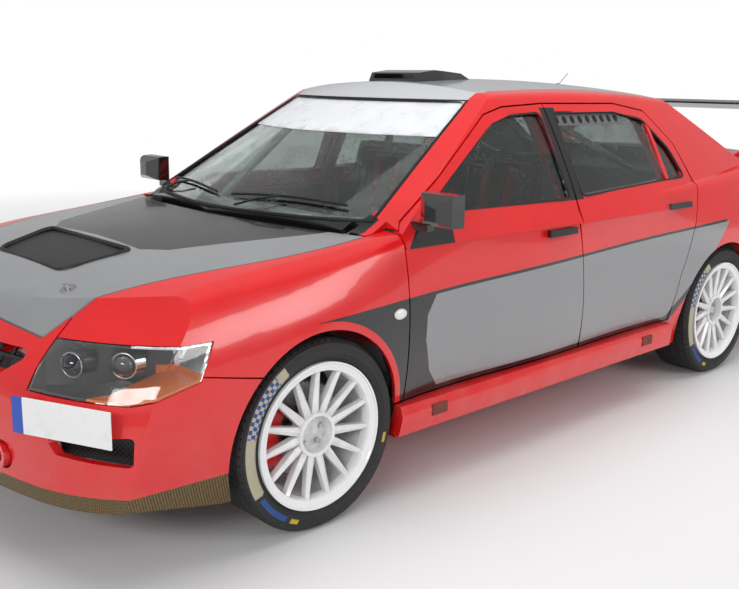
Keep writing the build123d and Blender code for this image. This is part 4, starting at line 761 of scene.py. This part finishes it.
BLUE_OUT, PLATE_FRONT_X = (0.3, 0.562), 1.9
material, tree, shader = new_finish("blank_plate")
x, out, _, place = coordinates(tree)
grime = noise(tree, place, 30.0, 4.0)
white = mixed(tree, rises(tree, grime, 0.55, 0.8), (0.80, 0.80, 0.80, 1), (0.74, 0.73, 0.71, 1))
blue_end = all_of(tree, between(tree, out, *BLUE_OUT), over(tree, x, PLATE_FRONT_X))
feed(tree, shader, Base_Color=mixed(tree, blue_end, white, (0.01, 0.07, 0.42, 1)), Roughness=0.28,
     Coat_Weight=0.3)
dress(material, "front_plate", "rear_plate")
PANE_THICK = 0.003


def upright_pane(name, cells, size, degrees, at, material, body):
    """A flat upright pane, turned about its middle."""
    bm = bmesh.new()
    bmesh.ops.create_grid(bm, x_segments=cells[0], y_segments=cells[1], size=0.5)
    bmesh.ops.scale(bm, verts=bm.verts, vec=(*size, 1))
    turn = Matrix.Rotation(math.radians(degrees), 4, "Z") @ Matrix.Rotation(math.pi / 2, 4, "X")
    bmesh.ops.transform(bm, verts=bm.verts, matrix=Matrix.Translation(at) @ turn)
    thicken(made(name, bm, material, body), PANE_THICK)


for side, sign in SIDES:
    upright_pane(f"duct_mesh_{side}", (8, 4), (0.31, 0.12), 90 + sign * 28,
                 (2.005, sign * 0.705, 0.428), nose_mesh, "body")


# Doors and sides
# The mirrors are gloss black shells, each with a pane of silvered glass, and a pale oval
# repeater sits behind each front arch. Dark pads cover the jacking holes in the sills.
dress(gloss_black, "door_mirror_left", "door_mirror_right")
for side, _ in SIDES:
    soft = cad[f"door_mirror_{side}"].modifiers.new("rounded", "BEVEL")
    soft.width, soft.segments, soft.limit_method, soft.angle_limit = 0.026, 4, "ANGLE", math.radians(30)
mirror_glass = moulded_finish("mirror_glass", (0.8, 0.82, 0.84), 0.03, 10.0, 0.00001, 1.0)
repeater_white = moulded_finish("repeater_lens", (0.72, 0.72, 0.70), 0.12, 60.0, 0.0001, 0.0, 0.8)
pad_brown = moulded_finish("sill_pad", (0.16, 0.035, 0.022), 0.7, 700.0, 0.0006)
for side, sign in SIDES:
    upright_pane(f"mirror_glass_{side}", (6, 6), (0.144, 0.086), 90, (0.8445, sign * 0.925, 1.020),
                 mirror_glass, f"front_door_{side}")
    point, _ = surface_at("front_wings", (0.992, sign * 1.2, 0.668), (0, -sign, 0))
    bm = bmesh.new()
    bmesh.ops.create_uvsphere(bm, u_segments=32, v_segments=16, radius=1.0)
    bmesh.ops.scale(bm, verts=bm.verts, vec=(0.030, 0.010, 0.019))
    bmesh.ops.translate(bm, verts=bm.verts, vec=point)
    made(f"side_repeater_{side}", bm, repeater_white, "body")
    for number, x in enumerate((0.80, -0.585)):
        point, _ = surface_at("side_skirts", (x, sign * 1.2, 0.295), (0, -sign, 0))
        bm = bmesh.new()
        bmesh.ops.create_cube(bm, size=1.0)
        bmesh.ops.scale(bm, verts=bm.verts, vec=(0.078, 0.006, 0.042))
        bmesh.ops.bevel(bm, geom=bm.edges[:], offset=0.002, segments=2, affect="EDGES", profile=0.5,
                        material=-1)
        bmesh.ops.translate(bm, verts=bm.verts, vec=point + Vector((0, sign * 0.001, 0)))
        made(f"sill_pad_{side}_{number + 1}", bm, pad_brown, "body")


# Wheels
# The rims are cast alloy in white paint, with brake dust round the hub and five bright
# nuts. The tyres are black rubber with blue, cream and yellow marks on the sidewalls.
FRONT_AXLE, REAR_AXLE, WHEEL_Z, WHEEL_Y = 1.340, -1.285, 0.320, 0.7575


def wheel_place(tree):
    """In the wheel's own plane: how far forward, how high, and the distance from its axle."""
    x, out, z, place = coordinates(tree)
    axle = rises(tree, x, -0.01, 0.01, REAR_AXLE, FRONT_AXLE)
    ahead = minus(tree, x, axle)
    up = minus(tree, z, WHEEL_Z)
    return ahead, up, distance_of(tree, spot_at(tree, ahead, up)), out, place


material, tree, shader = new_finish("white_wheel_paint")
_, _, radius, out, place = wheel_place(tree)
dirt = noise(tree, place, 24.0, 5.0)
near_hub = rises(tree, radius, 0.05, 0.20, 0.55, 0.12)
deep = rises(tree, out, 0.80, 0.86, 1.0, 0.25)
stain = all_of(tree, rises(tree, dirt, 0.38, 0.75), near_hub, deep)
feed(tree, shader, Base_Color=mixed(tree, stain, (0.80, 0.80, 0.81, 1), (0.10, 0.085, 0.075, 1)),
     Roughness=rises(tree, stain, 0, 1, 0.22, 0.6), Coat_Weight=0.4)
dress(material, "front_rim_left", "front_rim_right", "rear_rim_left", "rear_rim_right")

WHEEL_STEP, CLOCK_STEP = 0.002, 0.4
WALL_RADII, BLUE_RADII, YELLOW_RADII = (0.262, 0.300), (0.272, 0.290), (0.274, 0.290)
CREAM_ARC, CHECKED_ARC, BLUE_ARC = (-28, 60), (12, 52), (-58, -31)
YELLOW_ARCS = ((-69, -62), (-169, -162))
CHECK_SIZE, TREAD_RADIUS, BEAD_PITCH = 0.0125, 0.3125, 0.0065
SIPES, SIPE_SWEEP, GROOVE_SPACING = 70.0, 60.0, 0.042
material, tree, shader = new_finish("tyre_rubber")
ahead_of_axle, up_from_axle, radius, out, place = wheel_place(tree)
angle = worked_out(tree, "ARCTAN2", up_from_axle, ahead_of_axle)
clock = times(tree, angle, 180 / math.pi)
wall = all_of(tree, between(tree, radius, *WALL_RADII, WHEEL_STEP), over(tree, out, 0.80))
cream = all_of(tree, wall, between(tree, clock, *CREAM_ARC, CLOCK_STEP))
turns = spot_at(tree, times(tree, angle, 0.28), radius)
squares = put(tree, "ShaderNodeTexChecker", None, Vector=turns, Scale=1 / CHECK_SIZE).outputs["Fac"]
checks = all_of(tree, cream, squares, between(tree, clock, *CHECKED_ARC, CLOCK_STEP))
blue = all_of(tree, wall, between(tree, clock, *BLUE_ARC, CLOCK_STEP),
              between(tree, radius, *BLUE_RADII, WHEEL_STEP))
arcs = [between(tree, clock, *arc, CLOCK_STEP) for arc in YELLOW_ARCS]
yellow = all_of(tree, wall, any_of(tree, *arcs), between(tree, radius, *YELLOW_RADII, WHEEL_STEP))
grime = noise(tree, place, 18.0, 5.0)
surface = mixed(tree, rises(tree, grime, 0.42, 0.8, 0.0, 0.5), (0.012, 0.012, 0.013, 1),
                (0.05, 0.045, 0.04, 1))
surface = mixed(tree, cream, surface, (0.42, 0.38, 0.28, 1))
surface = mixed(tree, any_of(tree, checks, blue), surface, (0.02, 0.07, 0.26, 1))
surface = mixed(tree, yellow, surface, (0.55, 0.38, 0.03, 1))
tread = over(tree, radius, TREAD_RADIUS, WHEEL_STEP)
across = minus(tree, out, WHEEL_Y)
from_middle = worked_out(tree, "ABSOLUTE", across)
sweep = times(tree, from_middle, SIPE_SWEEP)
sipe = worked_out(tree, "SINE", plus(tree, times(tree, angle, SIPES), sweep))
ring = worked_out(tree, "COSINE", times(tree, across, 2 * math.pi / GROOVE_SPACING))
groove = all_of(tree, tread, any_of(tree, rises(tree, sipe, 0.72, 0.86), rises(tree, ring, 0.80, 0.90)))
# The tread's sipes and ring grooves are painted near black: painted shade in grooves that are only
# bumped, not cut.
surface = mixed(tree, groove, surface, (0.002, 0.002, 0.002, 1))
beads = worked_out(tree, "SINE", times(tree, radius, 2 * math.pi / BEAD_PITCH))
height = minus(tree, times(tree, beads, 0.12), groove)
feed(tree, shader, Base_Color=surface, Normal=relief(tree, height, 0.9, 0.004),
     Roughness=rises(tree, grime, 0.3, 0.8, 0.55, 0.85))
dress(material, "front_tyre_left", "front_tyre_right", "rear_tyre_left", "rear_tyre_right")

WHEELS = (("front_left", FRONT_AXLE, 1), ("front_right", FRONT_AXLE, -1),
          ("rear_left", REAR_AXLE, 1), ("rear_right", REAR_AXLE, -1))
NUT_CIRCLE, NUTS = 0.042, 5
for name, axle, sign in WHEELS:
    end, side = name.split("_")
    between_holes = math.pi / 2 + math.pi / NUTS
    ahead, up = NUT_CIRCLE * math.cos(between_holes), NUT_CIRCLE * math.sin(between_holes)
    seat, _ = surface_at(f"{end}_rim_{side}", (axle + ahead, sign * 1.2, WHEEL_Z + up), (0, -sign, 0))
    bm = bmesh.new()
    for turn in range(NUTS):
        angle = 2 * math.pi * turn / NUTS + math.pi / 2
        spot = Vector((axle + NUT_CIRCLE * math.cos(angle), seat.y,
                       WHEEL_Z + NUT_CIRCLE * math.sin(angle)))
        nut = cone(bm, 6, 0.0105, 0.0095, 0.018)
        bmesh.ops.rotate(bm, verts=nut, cent=(0, 0, 0),
                         matrix=Matrix.Rotation(-sign * math.pi / 2, 3, "X"))
        bmesh.ops.translate(bm, verts=nut, vec=spot + Vector((0, sign * 0.001, 0)))
    made(f"wheel_nuts_{name}", bm, bright_steel, f"{end}_wheel_{side}")


# Brakes
# The discs are turned cast iron, rusty at the edge and at the bell. The red calipers ahead
# of the axle and the dark, dusty arms and uprights are steel.
RUST_OUTSIDE, RUST_INSIDE = 0.155, 0.088
CALIPER_AHEAD, CALIPER_OUT, CALIPER_RADII = (0.072, 0.21), 0.675, (0.09, 0.20)
material, tree, shader = new_finish("brake_disc_iron")
_, _, radius, _, place = wheel_place(tree)
turned_rings = worked_out(tree, "SINE", times(tree, radius, 2 * math.pi / 0.0016))
scratches = noise(tree, place, 90.0, 4.0)
rust = any_of(tree, over(tree, radius, RUST_OUTSIDE, WHEEL_STEP),
              under(tree, radius, RUST_INSIDE, WHEEL_STEP))
surface = mixed(tree, rises(tree, scratches, 0.4, 0.7), (0.30, 0.29, 0.28, 1), (0.18, 0.17, 0.16, 1))
feed(tree, shader, Base_Color=mixed(tree, all_of(tree, rust, rises(tree, scratches, 0.3, 0.6)), surface,
                                    (0.14, 0.06, 0.03, 1)),
     Normal=relief(tree, turned_rings, 0.2, 0.0004), Metallic=0.85, Roughness=0.38)
dress(material, "front_brake_disc_left", "front_brake_disc_right", "rear_brake_disc_left",
      "rear_brake_disc_right")

material, tree, shader = new_finish("running_gear")
ahead_of_axle, _, radius, out, place = wheel_place(tree)
grime = noise(tree, place, 40.0, 5.0)
caliper = all_of(tree, between(tree, ahead_of_axle, *CALIPER_AHEAD), over(tree, out, CALIPER_OUT),
                 between(tree, radius, *CALIPER_RADII))
metal = mixed(tree, rises(tree, grime, 0.4, 0.7), (0.05, 0.05, 0.052, 1), (0.11, 0.095, 0.08, 1))
feed(tree, shader, Base_Color=mixed(tree, caliper, metal, (0.62, 0.015, 0.012, 1)),
     Roughness=rises(tree, caliper, 0, 1, 0.55, 0.3), Metallic=rises(tree, caliper, 0, 1, 0.5, 0.0))
dress(material, "front_knuckle_left", "front_knuckle_right", "front_suspension", "rear_suspension")


# Engine bay and underside
# The engine block is cast alloy, the radiator a finned core in black tanks, the sump
# guard a scratched alloy plate and the exhaust a blued steel pipe.
material, tree, shader = new_finish("cast_alloy")
place = own_place(tree)
sand = noise(tree, place, 300.0, 2.0)
oil = noise(tree, place, 9.0, 5.0)
feed(tree, shader, Base_Color=mixed(tree, rises(tree, oil, 0.45, 0.75), (0.30, 0.30, 0.31, 1),
                                    (0.07, 0.06, 0.05, 1)), Normal=relief(tree, sand, 0.5, 0.0008),
     Metallic=0.7, Roughness=0.5)
dress(material, "engine_block")

material, tree, shader = new_finish("radiator_core")
_, out, z, _ = coordinates(tree)
fins = worked_out(tree, "SINE", times(tree, z, 2 * math.pi / 0.006))
tubes = worked_out(tree, "SINE", times(tree, out, 2 * math.pi / 0.012))
# The core is painted near black between the tubes and lighter grey on the tube faces: painted shade
# among the fins.
feed(tree, shader, Base_Color=mixed(tree, rises(tree, tubes, 0.3, 0.6), (0.02, 0.02, 0.021, 1),
                                    (0.12, 0.12, 0.125, 1)),
     Normal=relief(tree, plus(tree, fins, tubes), 0.6, 0.001), Roughness=0.5)
dress(material, "radiator")
scratched_alloy = moulded_finish("scratched_alloy", (0.34, 0.34, 0.35), 0.42, 60.0, 0.0006, 0.9)
blued_steel = moulded_finish("blued_steel", (0.30, 0.25, 0.22), 0.35, 200.0, 0.0002, 0.95)
dress(scratched_alloy, "sump_guard")
dress(blued_steel, "exhaust")


# Roll cage and dashboard
# The cage is welded steel tube in pale grey paint. The dashboard is black flocked board,
# the steering wheel is bound in suede, and the seats are black moulded shells.
cage_paint = moulded_finish("cage_paint", (0.52, 0.53, 0.54), 0.32, 90.0, 0.0001, 0.0, 0.3)
dress(cage_paint, "roll_cage", "cage_side_bars", "cage_braces")
flock = moulded_finish("flocked_board", (0.016, 0.016, 0.017), 0.9, 900.0, 0.0006)
dress(flock, "dashboard")
suede = moulded_finish("wheel_suede", (0.02, 0.02, 0.021), 0.85, 700.0, 0.0005)
dress(suede, "steering_wheel")
seat_shell = moulded_finish("seat_shell", (0.012, 0.012, 0.013), 0.35, 500.0, 0.0003, 0.0, 0.3)
dress(seat_shell, "seats")


# Seat pads and harness
# Each bucket seat has a foam cushion and a back pad in black cloth, and a red webbing
# harness whose shoulder straps come over the back pad to a round buckle on the cushion.
seat_cloth, tree, shader = new_finish("seat_cloth")
place = own_place(tree)
yarn = put(tree, "ShaderNodeTexVoronoi", {"feature": "F1"}, Vector=place, Scale=420.0, Randomness=0.3)
worn = noise(tree, place, 11.0, 4.0)
feed(tree, shader, Base_Color=mixed(tree, rises(tree, worn, 0.4, 0.75), (0.020, 0.020, 0.022, 1),
                                    (0.045, 0.044, 0.045, 1)),
     Normal=relief(tree, yarn.outputs["Distance"], 0.5, 0.0008), Roughness=0.95, Sheen_Weight=0.25)
webbing = moulded_finish("red_webbing", (0.50, 0.018, 0.02), 0.75, 900.0, 0.0005)
SEAT_Y, SEAT_LEAN, PAD_ROUND = 0.350, 0.178, 0.020
STRAP_W, STRAP_THICK = 0.050, 0.0018


def pad(name, size, at, lean):
    """A foam pad: a box with soft edges, its face bulged and its border drawn in by a seam."""
    bm = bmesh.new()
    bmesh.ops.create_cube(bm, size=1.0)
    bmesh.ops.scale(bm, verts=bm.verts, vec=size)
    bmesh.ops.bevel(bm, geom=bm.edges[:], offset=PAD_ROUND, segments=4, affect="EDGES", profile=0.5,
                    material=-1)
    bmesh.ops.subdivide_edges(bm, edges=[e for e in bm.edges if e.calc_length() > 0.06], cuts=9,
                              use_grid_fill=True)
    for vert in bm.verts:
        if vert.co.z > 0:
            u, v = 2 * vert.co.x / size[0], 2 * vert.co.y / size[1]
            fall = max(0.0, 1 - u * u) * max(0.0, 1 - v * v)
            seam = math.exp(-((abs(v) - 0.55) / 0.05) ** 2) * 0.006
            vert.co.z += 0.016 * fall ** 0.5 - seam
    bmesh.ops.transform(bm, verts=bm.verts,
                        matrix=Matrix.Translation(at) @ Matrix.Rotation(lean, 4, "Y"))
    piece = made(name, bm, seat_cloth, "body")


def strap(name, points, across, lift):
    """A webbing strap along points, which lies flat across the given direction."""
    bm = bmesh.new()
    rows = []
    for point, up in zip(points, lift):
        middle = Vector(point) + Vector(up)
        rows.append([bm.verts.new(middle + Vector(across) * (STRAP_W * (t - 2) / 4)) for t in range(5)])
    for a, b in zip(rows, rows[1:]):
        for t in range(4):
            bm.faces.new((a[t], a[t + 1], b[t + 1], b[t]))
    piece = made(name, bm, webbing, "body")
    thicken(piece, STRAP_THICK, 1)


CUSHION_AT, CUSHION_SIZE = (0.165, 0.396), (0.40, 0.40, 0.07)
BACK_AT, BACK_SIZE = (-0.111, 0.785), (0.62, 0.40, 0.05)


def back_front(z):
    """Where the front of the back pad lies at a height, beside its middle."""
    u = (z - BACK_AT[1]) / (BACK_SIZE[0] / 2)
    return -0.007 - SEAT_LEAN * (z - 0.345) + 0.0155 * max(0.0, 1 - u * u) ** 0.5


for side, sign in SIDES:
    y = sign * SEAT_Y
    pad(f"seat_cushion_{side}", CUSHION_SIZE, (CUSHION_AT[0], y, CUSHION_AT[1]), -math.atan(0.0635))
    pad(f"back_pad_{side}", BACK_SIZE, (BACK_AT[0], y, BACK_AT[1]), math.pi / 2 - math.atan(SEAT_LEAN))
    for hand in (1, -1):
        run = []
        for step in range(13):
            t = step / 12
            z = 1.07 - 0.50 * t
            run.append((back_front(z), y + hand * (0.075 - 0.05 * t), z))
        run += [(-0.010, y + hand * 0.022, 0.515), (0.012, y + hand * 0.020, 0.474),
                (0.036, y + hand * 0.018, 0.452)]
        word = "outer" if hand == sign else "inner"
        strap(f"shoulder_strap_{side}_{word}", run, (0, 1, 0), [(0.003, 0, 0.001)] * len(run))
        lap = [(0.040, y + hand * 0.020, 0.450), (0.034, y + hand * 0.080, 0.455),
               (0.022, y + hand * 0.140, 0.456), (0.008, y + hand * 0.198, 0.462)]
        strap(f"lap_strap_{side}_{word}", lap, (1, 0, 0.06), [(0, 0, 0.004)] * len(lap))
    bm = bmesh.new()
    cone(bm, 32, 0.030, 0.027, 0.018)
    bmesh.ops.bevel(bm, geom=[e for e in bm.edges if e.calc_face_angle(0) > 0.8], offset=0.003,
                    segments=2, affect="EDGES", profile=0.5, material=-1)
    bmesh.ops.translate(bm, verts=bm.verts, vec=(0.040, y, 0.464))
    made(f"harness_buckle_{side}", bm, bright_steel, "body")


# Wipers and aerial
# Two black wipers lie along the foot of the windscreen, arms and blades on their spindles,
# and a short whip aerial leans back at the rear of the roof.
def on_screen(y, up):
    """A place a little ahead of the windscreen's outer face."""
    point, normal = surface_at("windscreen", (2.4, y, up), (-1, 0, 0))
    return point + normal * 0.012


for side, y0, y1, arm_y in (("left", 0.045, 0.560, 0.130), ("right", -0.610, -0.060, -0.520)):
    blade = [on_screen(y0 + (y1 - y0) * t / 10,
                       0.995 + 0.012 * math.sin(math.pi * t / 10)) for t in range(11)]
    tube_along(f"wiper_blade_{side}", blade, 0.005, rubber, "body")
    root = on_screen(arm_y, 0.972) + Vector((0.014, 0, -0.006))
    tip = on_screen((y0 + y1) / 2, 1.006) + Vector((0.01, 0, 0.005))
    tube_along(f"wiper_arm_{side}", [root, root.lerp(tip, 0.5) + Vector((0.008, 0, 0.006)), tip],
               0.0045, black_plastic, "body")

foot, _ = surface_at("roof_panel", (-0.98, 0.02, 2.0), (0, 0, -1))
tube_along("aerial_whip", [foot, foot + Vector((-0.085, 0, 0.065))], 0.0015, black_plastic, "body")
bm = bmesh.new()
cone(bm, 20, 0.011, 0.006, 0.014)
bmesh.ops.translate(bm, verts=bm.verts, vec=foot + Vector((0, 0, 0.006)))
made("aerial_foot", bm, rubber, "body")
